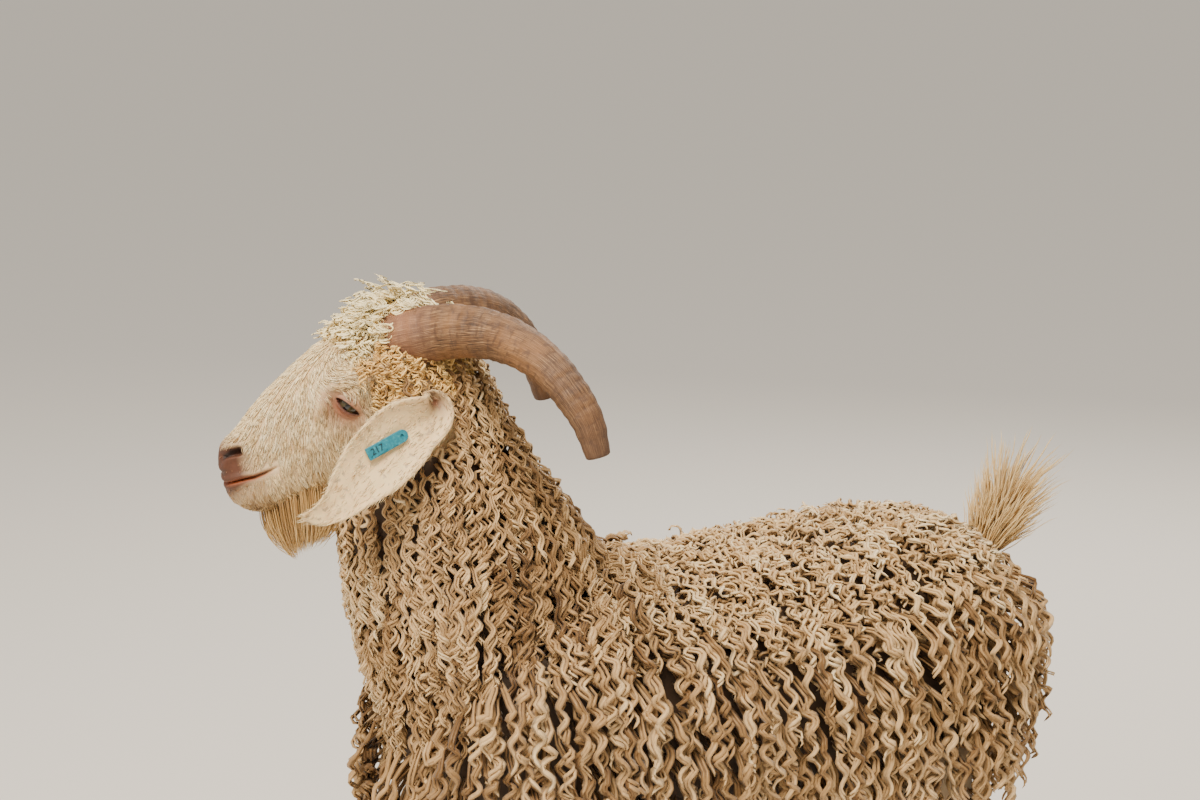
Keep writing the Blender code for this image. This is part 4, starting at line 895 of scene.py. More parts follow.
# The hooves.
# Two claws on each foot, of dark horn that grows down from the coronet in faint rings,
# with a flat sole that bears on the floor.
CLAW_TOE = 0.0400
CLAW_HEEL = 0.0180
CLAW_WIDTH = 0.0212
CLEFT = 0.0016
CORONET_FRONT = 0.0400
CORONET_HEEL = 0.0240
CLAW_ROUNDING = 10  # rounds of smoothing of the sole's outline
FOOT_X = {"foreleg": -0.198, "hindleg": 0.300}
CLAW_OUTLINE = np.array(((-1.00, 0.10), (-0.90, 0.45), (-0.50, 0.88), (0.0, 1.0), (0.32, 0.85), (0.45, 0.45),
                         (0.45, 0.06), (-0.50, 0.02)))


def claw_rings(foot_x, foot_y, where, count=22, sides=48):
    """One claw: the sole's outline, rounded, drawn in and back as it rises, with rings of growth."""
    corners = np.concatenate((CLAW_OUTLINE, CLAW_OUTLINE[:1]))
    place = np.concatenate(([0.0], np.cumsum(np.linalg.norm(np.diff(corners, axis=0), axis=1))))
    at = np.linspace(0, place[-1], sides * 4, endpoint=False)
    line = np.stack([np.interp(at, place, corners[:, column]) for column in (0, 1)], axis=1)
    for _ in range(CLAW_ROUNDING):
        line = (np.roll(line, 1, 0) + 2 * line + np.roll(line, -1, 0)) / 4
    line = line[::4] * (CLAW_TOE, CLAW_WIDTH)
    height = np.concatenate(([0.0, 0.02, 0.05], np.linspace(0.09, 1, count - 3)))[:, None]
    shrink = 1 - 0.14 * height**1.6 - 0.03 * np.exp(-height / 0.02) + 0.006 * np.sin(height * 31)
    back = 0.013 * height
    x = line[None, :, 0] * shrink + back * (CLAW_HEEL - line[None, :, 0]) / (CLAW_HEEL + CLAW_TOE)
    slope = (CLAW_HEEL - x) / (CLAW_HEEL + CLAW_TOE)
    top = CORONET_HEEL + (CORONET_FRONT - CORONET_HEEL) * slope
    y = foot_y + where * (CLEFT / 2 + line[None, :, 1] * shrink)
    return np.stack((foot_x + x, y, height * top), axis=2)


hoof_paint, nodes, links, shader = new_material("hoof horn")
bands = noise(nodes, links, 14.0, 5.0, (1, 1, 12))
hoof_colour = ramp(nodes, links, bands, ((0.32, (0.030, 0.022, 0.016)), (0.55, (0.085, 0.060, 0.040)),
                                         (0.75, (0.22, 0.155, 0.10))))
links.new(hoof_colour, shader.inputs["Base Color"])
shader.inputs["Roughness"].default_value = 0.48
bumped(nodes, links, shader, bands, 0.5, 0.0012)
for (leg_name, leg_side), leg_rows in LEGS.items():
    word = "left" if leg_side < 0 else "right"
    base_x = FOOT_X[leg_name] + SHIFT[0]
    base_y = leg_side * leg_rows[-1, 2] + SHIFT[1]
    for where, place in ((leg_side, "outer"), (-leg_side, "inner")):
        claw = tube(f"claw_{leg_name}_{word}_{place}", claw_rings(base_x, base_y, where))
        claw.data.materials.append(hoof_paint)
        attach(claw, "root")
        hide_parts(f"hoof_{leg_name}_{word}_{place}")

# The ear tag.
# A narrow plate of blue plastic with one round end, held by a pin through the ear, with a stud behind it.
# Its lower edge is finely toothed, and plain digits are printed near the square end.
TAG_LENGTH = 0.0450
TAG_HALF_WIDTH = 0.0062
TAG_THICKNESS = 0.0020
TAG_PIN_PLACE = 0.42
TAG_TURN = math.radians(17)  # from the ear's own line towards its front edge
TAG_STANDOFF = 0.0054
TAG_PIN_RADIUS = 0.0018
TAG_STUD_RADIUS = 0.0050
TAG_END = TAG_LENGTH - TAG_HALF_WIDTH  # from the pin to the square end
TAG_DOT_RADIUS = 0.0009
TAG_DOT_INSET = (0.0032, 0.0038)  # from the square end, and aside
TAG_NUMBER = "217"
TAG_NUMBER_INSET = 0.0110
TAG_NUMBER_SIZE = 0.0092
TAG_NUMBER_RELIEF = 0.00016
# Levels through the plate, and the share of its outline that it reaches there
TAG_RIM = ((0.0, 0.94), (0.0002, 0.985), (0.0006, 1.0), (0.0014, 1.0), (0.0018, 0.985), (0.0020, 0.94))


def tag_frame():
    """The pin's place and the plate's directions: along it, across it and out of the ear."""
    path, _, _, out, _, _ = ear_frame(1, np.linspace(0, 1, 101))
    first = round(TAG_PIN_PLACE * 100)
    along = unit(path[first + 20] - path[first])
    away = unit(out[first] - along * (out[first] @ along))
    along = along * math.cos(TAG_TURN) + np.cross(along, away) * math.sin(TAG_TURN)
    return path[first], along, np.cross(along, away), away


tag_pin, tag_along, tag_wide, tag_out = tag_frame()


def tag_plate():
    """The plate's outline, half a circle and a toothed edge, raised through its thickness with soft rims."""
    turn = np.linspace(math.pi / 2, 1.5 * math.pi, 25)
    round_end = np.stack((TAG_HALF_WIDTH * np.cos(turn), TAG_HALF_WIDTH * np.sin(turn)), axis=1)
    run = np.linspace(0.002, TAG_END - 0.0006, 90)
    teeth = 0.00022 * np.sign(np.sin(run * 2 * math.pi / 0.0016)) * (np.abs(run - 0.018) < 0.014)
    low_edge = np.stack((run, -TAG_HALF_WIDTH + teeth), axis=1)
    corner = np.array(((TAG_END, -TAG_HALF_WIDTH + 0.0006), (TAG_END, TAG_HALF_WIDTH - 0.0006)))
    high_edge = np.stack((run[::-6], np.full(len(run[::-6]), TAG_HALF_WIDTH)), axis=1)
    outline = np.concatenate((round_end, low_edge, corner, high_edge))
    middle = outline.mean(axis=0)
    rings = []
    for level, inset in TAG_RIM:
        flat = middle + (outline - middle) * (1 - (1 - inset) * np.array((0.14, 1.0)))
        place = tag_pin + flat[:, :1] * tag_along + flat[:, 1:] * tag_wide
        rings.append(place + (TAG_STANDOFF + level) * tag_out)
    return tube("tag_plate", rings)


def peg(low, high, radius, taper=0.9):
    """A round peg out of the ear between two levels, its edges eased."""
    levels = np.array((low, low + 0.0003, high - 0.0003, high))
    path = tag_pin + levels[:, None] * tag_out
    radii = radius * np.array((taper, 1, 1, taper))
    return tube("peg", sweep_rings(path, np.stack((radii, radii), 1), 28, tag_along))


tag_paint, nodes, links, shader = new_material("tag plastic")
wear = ramp(nodes, links, noise(nodes, links, 420.0, 6.0),
            ((0.45, (0.012, 0.175, 0.240)), (0.62, (0.024, 0.235, 0.300)), (0.78, (0.14, 0.35, 0.39))))
links.new(wear, shader.inputs["Base Color"])
shader.inputs["Roughness"].default_value = 0.42
bumped(nodes, links, shader, noise(nodes, links, 1300.0), 0.15, 0.0003)
plate = put_together("tag", [tag_plate(), peg(-0.0080, TAG_STANDOFF + 0.0004, TAG_PIN_RADIUS),
                             peg(-0.0092, -0.0070, TAG_STUD_RADIUS)])
hole = peg(TAG_STANDOFF + 0.0005, TAG_STANDOFF + 0.004, TAG_PIN_RADIUS)
dot = peg(TAG_STANDOFF + 0.0012, TAG_STANDOFF + 0.004, TAG_DOT_RADIUS)
points = points_of(dot.data) + tag_along * (TAG_END - TAG_DOT_INSET[0]) - tag_wide * TAG_DOT_INSET[1]
dot.data.vertices.foreach_set("co", points.astype(np.float32).ravel())
plate = put_together("tag", [plate, hole, dot], cut=True)
plate.name = plate.data.name = "tag_plate"
plate.data.materials.clear()
plate.data.materials.append(tag_paint)
plate.data.shade_flat()
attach(plate, "root")
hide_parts("ear_tag")

ink_paint, nodes, links, shader = new_material("ink")
links.new(mixed(nodes, links, noise(nodes, links, 900.0), (0.004, 0.012, 0.016), (0.02, 0.05, 0.06)),
          shader.inputs["Base Color"])
shader.inputs["Roughness"].default_value = 0.5
digits_text = bpy.data.curves.new("digits", "FONT")
digits_text.body = TAG_NUMBER
digits_text.size = TAG_NUMBER_SIZE
digits_text.extrude = TAG_NUMBER_RELIEF
digits_text.align_x = "CENTER"
digits_text.align_y = "CENTER"
digits_source = bpy.data.objects.new("digits", digits_text)
bpy.context.scene.collection.objects.link(digits_source)
graph = bpy.context.evaluated_depsgraph_get()
digits_mesh = bpy.data.meshes.new_from_object(digits_source.evaluated_get(graph))
bpy.data.objects.remove(digits_source)
digits = bpy.data.objects.new("tag_digits", digits_mesh)
bpy.context.scene.collection.objects.link(digits)
flat = points_of(digits_mesh)
flat = (tag_pin + (TAG_END - TAG_NUMBER_INSET - flat[:, :1]) * tag_along + flat[:, 1:2] * tag_wide
        + (TAG_STANDOFF + TAG_THICKNESS + 0.00012 + flat[:, 2:]) * tag_out)
digits_mesh.vertices.foreach_set("co", flat.astype(np.float32).ravel())
digits_mesh.materials.clear()
digits_mesh.materials.append(ink_paint)
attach(digits, "root")

# The short hair of the face.
# It lies close in flowing streaks: down the nose, round the eyes, and down and back over the cheeks to the jaw.
# Every tuft of the coat is a thin closed blade, planted on the hide and tapered to a point.
draw = np.random.default_rng(11)
DOWN = np.array((0.0, 0.0, -1.0))
FACE_SPACING = 0.0022
hide.data.calc_loop_triangles()
hide_corners = np.empty(len(hide.data.loop_triangles) * 3, dtype=np.int32)
hide.data.loop_triangles.foreach_get("vertices", hide_corners)
hide_corners = hide_corners.reshape(-1, 3)
corner_points = hide_points[hide_corners]
hide_areas = np.linalg.norm(np.cross(corner_points[:, 1] - corner_points[:, 0],
                                     corner_points[:, 2] - corner_points[:, 0]), axis=1) / 2
hide_marks = markings(hide_points)
hide_in_head = in_head(hide_points)
hide_head_depth = head_depth(hide_points)[0]


def scattered(weight, spacing):
    """Places on the hide and the way out of it there, about one to each square of the spacing, more
    often where the weight is high."""
    chance = hide_areas * weight[hide_corners].mean(axis=1)
    total = np.cumsum(chance)
    picked = np.searchsorted(total, draw.random(int(total[-1] / spacing**2 * 3)) * total[-1])
    first, second = np.sqrt(draw.random(len(picked)))[:, None], draw.random(len(picked))[:, None]
    shares = np.concatenate((1 - first, first * (1 - second), first * second), axis=1)[..., None]
    corners = hide_corners[np.minimum(picked, len(hide_corners) - 1)]
    roots = (hide_points[corners] * shares).sum(axis=1)
    outs = unit((hide_out[corners] * shares).sum(axis=1))
    _, kept = np.unique(np.floor(roots / (spacing * 1.12)).astype(int), axis=0, return_index=True)
    return roots[kept], outs[kept]


def lock_solid(name, paths, outs, wide, thick, profile, tone, paint, sides=3):
    """One piece of many blades. Round each path's points stand small sections, wide across and thin
    outwards, scaled by the profile; the last point is the tip. The tone's second number is set to run
    from root to tip."""
    count, steps = paths.shape[:2]
    wide, thick = (np.broadcast_to(values, count)[:, None, None, None] for values in (wide, thick))
    along = unit(np.gradient(paths, axis=1))
    outs = outs if outs.ndim == 3 else outs[:, None, :]
    across = unit(np.cross(outs, along))
    face = np.cross(along, across)
    turn = math.pi / 2 + np.arange(sides) * 2 * math.pi / sides
    size = np.asarray(profile)[None, :, None, None]
    rings = (paths[:, :-1, None, :]
             + wide * size * np.cos(turn)[None, None, :, None] * across[:, :-1, None, :]
             + thick * size * np.sin(turn)[None, None, :, None] * face[:, :-1, None, :])
    each = (steps - 1) * sides + 1
    points = np.concatenate((rings.reshape(count, -1, 3), paths[:, -1:, :]), axis=1)
    row, side = np.meshgrid(np.arange(steps - 2), np.arange(sides), indexing="ij")
    a, b = (row * sides + side).ravel(), (row * sides + (side + 1) % sides).ravel()
    last = (steps - 2) * sides + np.arange(sides)
    after = (steps - 2) * sides + (np.arange(sides) + 1) % sides
    cap = np.stack([np.array((0, side + 2, side + 1)) for side in range(sides - 2)])
    one = np.concatenate((np.stack((a, b, b + sides), 1), np.stack((a, b + sides, a + sides), 1),
                          np.stack((last, after, np.full(sides, each - 1)), 1), cap))
    if signed_volume(points[0] - points[0, 0], one) < 0:
        one = one[:, ::-1]
    triangles = (one[None] + (np.arange(count) * each)[:, None, None]).reshape(-1, 3)
    made = mesh_object(name, points.reshape(-1, 3), triangles)
    share = np.concatenate((np.repeat(np.linspace(0, 1, steps)[:-1], sides), (1.0,)))
    values = np.repeat(tone[:, None, :], each, axis=1)
    values[..., 1] = share
    give_attribute(made, "tone", values)
    spot = unwrapped(paths[:, 0])[:, None, :]
    patch = np.stack((np.concatenate((np.tile(np.cos(turn), steps - 1), (0.0,))) * 0.0013, share * 0.0030), axis=1)
    flat = (spot + patch[None]).reshape(-1, 2)
    layer = made.data.uv_layers.new(name="OFBake")
    layer.data.foreach_set("uv", np.ascontiguousarray(flat[triangles.ravel()], dtype=np.float32).ravel())
    made.data.materials.append(paint)
    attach(made, "root")


def coat_paint(name, shades, gloss, warm):
    """Hair that is darker at the root and lighter to the tip, a painted shade deep in the coat, each lock a little
    apart from the next, with a warm stain and a pink tinge where the hide has them, and fine streaks along the
    strands."""
    paint, nodes, links, shader = new_material(name)
    own, value, stain, pink = attribute(nodes, links, "tone")
    place = nodes.new("ShaderNodeUVMap")
    place.uv_map = "OFBake"
    drawn_out = nodes.new("ShaderNodeMapping")
    drawn_out.inputs["Scale"].default_value = (2600, 420, 1)
    links.new(place.outputs[0], drawn_out.inputs["Vector"])
    streaks = nodes.new("ShaderNodeTexNoise")
    streaks.inputs["Scale"].default_value = 1.0
    streaks.inputs["Detail"].default_value = 2.0
    links.new(drawn_out.outputs[0], streaks.inputs["Vector"])
    total = own
    # The share from root to tip lightens the hair: painted shade towards the roots
    for part, gain in ((value, 0.34), (noise(nodes, links, 210.0, 2.0), 0.20), (streaks.outputs["Fac"], 0.30)):
        added = nodes.new("ShaderNodeMath")
        added.operation = "MULTIPLY_ADD"
        added.inputs[1].default_value = gain
        links.new(part, added.inputs[0])
        links.new(total, added.inputs[2])
        total = added.outputs[0]
    lift = nodes.new("ShaderNodeMath")
    lift.operation = "SUBTRACT"
    lift.inputs[1].default_value = 0.38
    links.new(total, lift.inputs[0])
    colour = ramp(nodes, links, lift.outputs[0], shades)
    colour = mixed(nodes, links, stain, colour, mixed(nodes, links, 1.0, colour, warm, "MULTIPLY"))
    colour = mixed(nodes, links, pink, colour, (0.24, 0.090, 0.040))
    links.new(colour, shader.inputs["Base Color"])
    shader.inputs["Roughness"].default_value = gloss
    shader.inputs["Sheen Weight"].default_value = 0.10
    shader.inputs["Specular IOR Level"].default_value = 0.30
    shader.inputs["Specular Tint"].default_value = (1.0, 0.86, 0.66, 1)
    bumped(nodes, links, shader, streaks.outputs["Fac"], 0.35, 0.0004)
    return paint


def gathered(paths, size, pull):
    """Neighbouring hairs drawn together towards their tips, in bunches about a size across, and the
    number of each hair's bunch."""
    size = np.asarray(size)
    places = paths[:, 0] + size * 0.35 * np.sin(paths[:, 0, ::-1] * 2.1 / size)
    bunch = np.unique(np.floor(places / size).astype(int), axis=0, return_inverse=True)[1].ravel()
    count = np.bincount(bunch)
    flat = paths.reshape(len(paths), -1)
    middle = np.stack([np.bincount(bunch, column) / count for column in flat.T], axis=1).reshape(-1, *paths.shape[1:])
    share = np.linspace(0, 1, paths.shape[1])[None, :, None] ** 1.3
    return paths + (middle[bunch] - paths) * share * pull, bunch


def over_brow(u, w, s):
    """How near places on the head are to the middle of the brow, from 0 to 1."""
    return hump(np.stack((u, w, np.abs(s)), 1), (-0.006, 0.030, 0.046), (0.024, 0.013, 0.030))


def face_lie(roots, outs):
    """The way the hair lies: an angle on the skin from straight down the nose, that opens with the way
    round from the nose to the jaw, turns back behind the eye, and sweeps over the brow."""
    u, w, s = in_head(roots).T
    round_share = np.abs(head_depth(roots)[2]) / math.pi
    ahead = unit(FORWARD - outs * (outs @ FORWARD)[:, None])
    aside = np.cross(ahead, outs)
    aside *= np.sign((aside * (np.sign(s)[:, None] * LEFT * 0.5 - DORSAL)).sum(axis=1))[:, None]
    turn = np.radians(14) + np.radians(92) * (1 - round_share) + np.radians(38) * eased(-u, 0.0, 0.07)
    turn += np.radians(9) * np.sin(u * 160 + w * 90) * np.sin(w * 170 + u * 40)
    brow = over_brow(u, w, s)
    turn = turn * (1 - brow) + np.radians(160) * brow + draw.normal(0, np.radians(6), len(u))
    return unit(np.cos(turn)[:, None] * ahead + np.sin(turn)[:, None] * aside)


def laid(roots, outs, lie, length, rise, room, steps=4, droop=0.0):
    """Short paths that leave the skin at a slant and bend back along it, held to the shape below."""
    share = np.linspace(0, 1, steps)
    base = room(roots)
    path = [roots - outs * 0.0006]
    for step in range(1, steps):
        hang = DOWN * (droop * length * share[step] ** 2)[:, None]
        here = roots + lie * (length * share[step])[:, None] + hang
        want = base + rise * length * (share[step] - 0.45 * share[step] ** 2)
        path.append(here + outs * (want - room(here))[:, None])
    return np.stack(path, axis=1)


def only_head(points):
    """Depth over the head alone, with its hills and hollows and the swell of the eyelids. The hills are
    read where the skin stood before it was raised by them."""
    h = in_head(points)
    level = np.interp(h[..., 0], HEAD[:, 0], HEAD[:, 3])
    away = unit(np.stack((np.zeros_like(level), h[..., 1] - level, h[..., 2]), axis=-1))
    under = h
    for _ in range(3):
        under = h - away * relief(under)[..., None]
    depth = head_depth(points)[0] - relief(under)
    a, b, c = np.moveaxis(eye_ring(points), -1, 0)
    near = (np.hypot(a, b) < 0.024) & (c > -0.006)
    return np.where(near, c - lid_height(a, b, c - depth), depth)


folded = both_sides(hide_in_head)
ring = eye_ring(hide_points)
opening = (np.abs(ring[:, 0]) < LID_LENGTH + 0.0018) & (np.abs(ring[:, 1]) < 0.0064) & (ring[:, 2] > 0)
lip_gap, nostril_gap = (off_line(folded * ASIDE_SHARE, line)[0] for line in (MOUTH, NOSTRIL))
face = (hide_head_depth < 0.016) & (hide_in_head[:, 0] > -0.078) & (hide_marks[:, 2] < 0.5)
face &= ~opening & (lip_gap > 0.0030) & (nostril_gap > 0.0045)
u, w, s = folded.T
CROWN_FRONT = -0.015
crown_edge = CROWN_FRONT - 0.009 * eased(s, 0.008, 0.035)
in_crown = (u < crown_edge) & (w > np.interp(u, (-0.094, -0.060), (0.0, 0.026)))
face_weight = face * (1 - 0.95 * hide_marks[:, 1]) * (1 - 0.97 * hide_marks[:, 0]) * np.where(in_crown, 0.55, 1.0)
roots, outs = scattered(face_weight, FACE_SPACING)
u, w, s = in_head(roots).T
marks = markings(roots)
length = 0.0105 + 0.0080 * eased(-w, 0.000, 0.055) - 0.0060 * eased(u, 0.085, 0.132) - 0.0045 * marks[:, 1]
length += 0.004 * over_brow(u, w, s)
length = np.maximum(length * 1.2, 0.0034) * draw.uniform(0.75, 1.25, len(roots)) * (1 - 0.45 * marks[:, 0])
lie = face_lie(roots, outs)
paths = laid(roots, outs, lie, length, 0.20 + 0.08 * draw.random(len(roots)), only_head,
             droop=0.18 * eased(-w, 0.02, 0.06))
paths, bunch = gathered(paths, 0.0058, 0.66)
shade = 0.62 + 0.10 * draw.random(len(roots)) + draw.normal(0, 0.13, bunch.max() + 1)[bunch]
# Lighter over the top of the head; darker low on the face and under the chin, a painted shade
shade += 0.10 * eased(w, 0.020, 0.045) - 0.12 * eased(-w, 0.015, 0.060)
shade -= 0.50 * deep_marks(roots)[:, 3]
stain = np.clip(0.36 + 0.60 * eased(-w, 0.025, 0.070) + 0.15 * eased(w, 0.030, 0.050), 0, 1)
tone = np.stack((shade, shade, stain, np.clip(0.95 * marks[:, 0] + 0.85 * marks[:, 1], 0, 1)), axis=1)
FACE_SHADES = ((0.0, (0.18, 0.100, 0.042)), (0.36, (0.52, 0.36, 0.180)), (0.66, (0.84, 0.69, 0.43)),
               (1.0, (0.95, 0.87, 0.66)))
face_paint = coat_paint("face hair", FACE_SHADES, 0.45, (0.95, 0.77, 0.47))
HAIR_PROFILE = (0.75, 1.0, 0.72)
ring = eye_ring(paths)
open_now = (np.abs(ring[..., 0]) < LID_LENGTH + 0.0008) & (np.abs(ring[..., 1]) < 0.0052) & (ring[..., 2] > 0.004)
tips = in_head(paths[:, 1:]) * (1, 1, 0) + np.abs(in_head(paths[:, 1:])) * (0, 0, 1)
kept = ~open_now.any(axis=1) & (off_line(tips * ASIDE_SHARE, MOUTH)[0].min(axis=1) > 0.0030)
kept &= off_line(tips[:, -1] * ASIDE_SHARE, NOSTRIL)[0] > 0.0030
for half, word in ((s >= 0, "left"), (s < 0, "right")):
    half = half & kept
    lock_solid(f"face_hair_{word}", paths[half], outs[half], (0.00048 + 0.012 * length[half]),
               np.full(half.sum(), 0.00030), HAIR_PROFILE, tone[half], face_paint)

# The hair of the ears.
# The hollow is thinly haired, the back and the rims are furred, and all of it points to the tip.
EAR_SPACING = 0.0027
roots, outs = scattered(hide_marks[:, 2], EAR_SPACING)
side = np.where(in_head(roots)[:, 2] > 0, 1, -1)
lie, rim, hollow = np.zeros_like(roots), np.zeros(len(roots)), np.zeros(len(roots))
for which in (1, -1):
    share, across, gap, along, away = ear_share(roots, which)
    mine = side == which
    lie[mine], rim[mine], hollow[mine] = along[mine], np.abs(across)[mine], (outs * away).sum(axis=1)[mine]
keep = draw.random(len(roots)) < np.where(hollow > 0.1, 0.55 + 0.45 * eased(rim, 0.55, 0.9), 1.0)
roots, outs, lie, rim, hollow = (values[keep] for values in (roots, outs, lie, rim, hollow))
lie = unit(lie - outs * (lie * outs).sum(axis=1)[:, None] + draw.normal(0, 0.16, roots.shape))
length = np.where(hollow > 0.1, 0.0075, 0.0105) * draw.uniform(0.7, 1.3, len(roots))
reach = length[:, None] * lie
paths = np.stack((roots - outs * 0.0005, roots + reach * 0.45 + outs * 0.0008, roots + reach + outs * 0.0011), axis=1)
paths, bunch = gathered(paths, 0.0060, 0.50)
marks = markings(roots)
fleck = (draw.random(bunch.max() + 1) < 0.06)[bunch] & (hollow > 0.1)
shade = 0.78 + 0.12 * draw.random(len(roots)) + draw.normal(0, 0.07, bunch.max() + 1)[bunch] - 0.42 * fleck
pink = np.where(hollow > 0.1, 0.05, 0.02) + 0.9 * marks[:, 0]
tone = np.stack((shade + 0.06, shade, np.full(len(roots), 0.55), pink), axis=1)
lock_solid("ear_hair", paths, outs, 0.00056, 0.00028, (0.8, 0.8), tone, face_paint)

# The fleece of the neck.
# Ringlets hang in ropes of a few strands that wave together, one over the next, fine near the ear and
# coarser down the neck, with dark gaps between them where the hide below is painted in shade.
NECK_SPACING = 0.0126
NECK_STEPS = 27
NECK_STRANDS = 3
EAR_CLEARANCE = 0.0032
HORN_CLEARANCE = 0.019  # from the line through the middle of the horn


def square_to(directions, outs):
    """Directions made square to others: each less its share along them, made one long."""
    return unit(directions - outs * (directions * outs).sum(axis=1)[:, None])


def fleece_room(points):
    """Depth over the trunk, the neck and the legs together."""
    return np.min([trunk_depth(points)[0], neck_depth(points)[0], nearest_leg(points)], axis=0)


def way_out(points, room, reach=0.004):
    """The direction in which the depth grows fastest, from its differences along the three axes."""
    steps = np.eye(3) * reach
    return unit(np.stack([room(points + step) - room(points - step) for step in steps], axis=-1))


def draped(roots, outs, lie, length, loft, steps, room, stiff=0.55):
    """Paths that rise from the skin to the coat's outer level and then hang: each step turns toward the
    pull of gravity along the body below, and is kept out at that level where the body faces up or aside."""
    path = [roots - outs * 0.002, roots + outs * (loft * 0.55)[:, None] + lie * (loft * 0.30)[:, None]]
    here = roots + outs * (loft * 0.96)[:, None] + lie * (loft * 0.85)[:, None]
    normals = [outs, outs]
    heading = unit(lie + outs * 0.15)
    for _ in range(steps - 2):
        out = way_out(here, room)
        path.append(here)
        normals.append(out)
        pull = DOWN - out * np.minimum(out @ DOWN, 0)[:, None] + lie * 0.22
        heading = unit(heading * (1 - stiff) + unit(pull) * stiff)
        here = here + heading * (length / (steps - 2))[:, None]
        short = np.clip(loft + room(roots) - room(here), 0, 0.012) * (out @ DOWN < 0.35)
        here = here + out * (short * 0.6)[:, None]
    return np.stack(path, axis=1), unit(np.stack(normals, axis=1))


def clear_of(paths, others, reach):
    """Which paths keep further than a reach from all of some points."""
    low, high = others.min(axis=0) - reach, others.max(axis=0) + reach
    close = ((paths > low) & (paths < high)).all(axis=2)
    clear = np.ones(len(paths), dtype=bool)
    rows, columns = np.nonzero(close)
    for part in np.array_split(np.arange(len(rows)), max(1, len(rows) // 2000)):
        gap = ((paths[rows[part], columns[part]][:, None, :] - others[None]) ** 2).sum(axis=2).min(axis=1)
        clear[rows[part][gap < reach**2]] = False
    return clear


def free_of_head(ropes):
    """Which ropes keep clear of the ears and the horns."""
    return clear_of(ropes, ear_points, EAR_CLEARANCE) & clear_of(ropes, horn_middles, HORN_CLEARANCE)


def tucked(roots, outs, lie, length, loft, steps, room):
    """Draped paths, laid again lower and shorter where they would run into an ear or a horn, and which
    ones those are."""
    paths, normals = draped(roots, outs, lie, length, loft, steps, room)
    tight = np.zeros(len(roots), dtype=bool)
    for share in (0.50, 0.22):
        near = ~(clear_of(paths, ear_points, 0.010) & clear_of(paths, horn_middles, 0.030))
        tight |= near
        again = draped(roots[near], outs[near], lie[near], length[near] * 0.85, loft[near] * share, steps, room)
        paths[near], normals[near] = again
    return paths, normals, tight


def resampled(paths, count):
    """The same paths through more points, on cubic pieces between the old ones."""
    at = np.linspace(0, paths.shape[1] - 1, count)
    left = np.minimum(at.astype(int), paths.shape[1] - 2)
    t = (at - left)[None, :, None]
    a, b, c, d = (paths[:, np.clip(left + shift, 0, paths.shape[1] - 1)] for shift in (-1, 0, 1, 2))
    return b + 0.5 * t * (c - a + t * (2 * a - 5 * b + 4 * c - d + t * (3 * (b - c) + d - a)))


def ringlets(paths, normals, width, period, strands, spread, steps, kin):
    """Each path becomes a rope: a wave that swings across and out from it, in step with those of its kin,
    carried by a few strands that stand a little apart and twist slowly about each other."""
    paths, normals = resampled(paths, steps), unit(resampled(normals, steps))
    count = len(paths)
    along = unit(np.gradient(paths, axis=1))
    across = unit(np.cross(normals, along))
    gaps = np.linalg.norm(np.diff(paths, axis=1), axis=2)
    run = np.concatenate((np.zeros((count, 1)), np.cumsum(gaps, axis=1)), 1)
    shared = draw.random((kin.max() + 1, 4))[kin]
    hand = np.where(shared[:, :1] < 0.5, -1, 1)
    period = (period * (0.82 + 0.36 * shared[:, 1]))[:, None]
    slow = run / (period * 2.7) + shared[:, 2:3]
    beat = (run - paths[:, :1, 2]) / period + shared[:, 3:] + draw.normal(0, 0.07, (count, 1))
    phase = 2 * math.pi * (beat + 0.10 * np.sin(2 * math.pi * slow))
    swell = width[:, None] * np.minimum(1, np.linspace(0, 1, steps)[None, :] * 3.6)
    swell = swell * (1 + 0.28 * np.cos(2 * math.pi * slow * 0.8 + 1)) * draw.uniform(0.8, 1.15, (count, 1))
    depth = draw.uniform(0.45, 0.95, (count, 1))
    sweep = ((np.cos(phase) * swell * hand)[..., None] * across
             + (depth * np.sin(phase) * swell)[..., None] * normals)
    many = np.repeat(paths + sweep, strands, axis=0)
    turn = np.tile(np.arange(strands) * 2 * math.pi / strands, count)
    turn = turn + draw.uniform(-0.5, 0.5, count * strands)
    turn = turn[:, None] + np.linspace(0, 2.0, steps)[None, :]
    apart = np.repeat(spread, strands)[:, None] * draw.uniform(0.6, 1.3, (count * strands, 1))
    apart = apart * (1 - 0.35 * np.linspace(0, 1, steps)[None, :] ** 2)
    many = many + (np.cos(turn) * apart)[..., None] * np.repeat(across, strands, axis=0)
    many = many + (np.sin(turn) * apart * 0.7)[..., None] * np.repeat(normals, strands, axis=0)
    slide = np.repeat(unit(along[:, -1]), strands, axis=0) * draw.uniform(-0.006, 0.006, (count * strands, 1))
    many = many + slide[:, None, :] * np.linspace(0, 1, steps)[None, :, None]
    return many, np.repeat(normals, strands, axis=0)


def rope_profile(steps):
    """Thin at the root, full along its length and drawn in towards the tip."""
    at = np.linspace(0, 1, steps)[:-1]
    return np.minimum(1, 0.5 + at * 2.5) * (1 - 0.60 * np.clip((at - 0.72) / 0.28, 0, 1) ** 1.5)


def rope_solid(name, chosen, made, flatness, paint):
    """One piece of the chosen ropes: each strand is a blade, as thick as its width times the flatness."""
    ropes, outs, half_width, tone = (values[chosen] for values in made)
    lock_solid(name, ropes, outs, half_width, half_width * flatness, rope_profile(ropes.shape[1]), tone, paint)


def rope_tone(own, strands, stain):
    """The tone of each strand of some ropes, near that of its rope."""
    own = np.repeat(own, strands) + draw.uniform(-0.07, 0.07, len(own) * strands)
    return np.stack((own, own, np.full(len(own), stain), np.zeros(len(own))), axis=1)


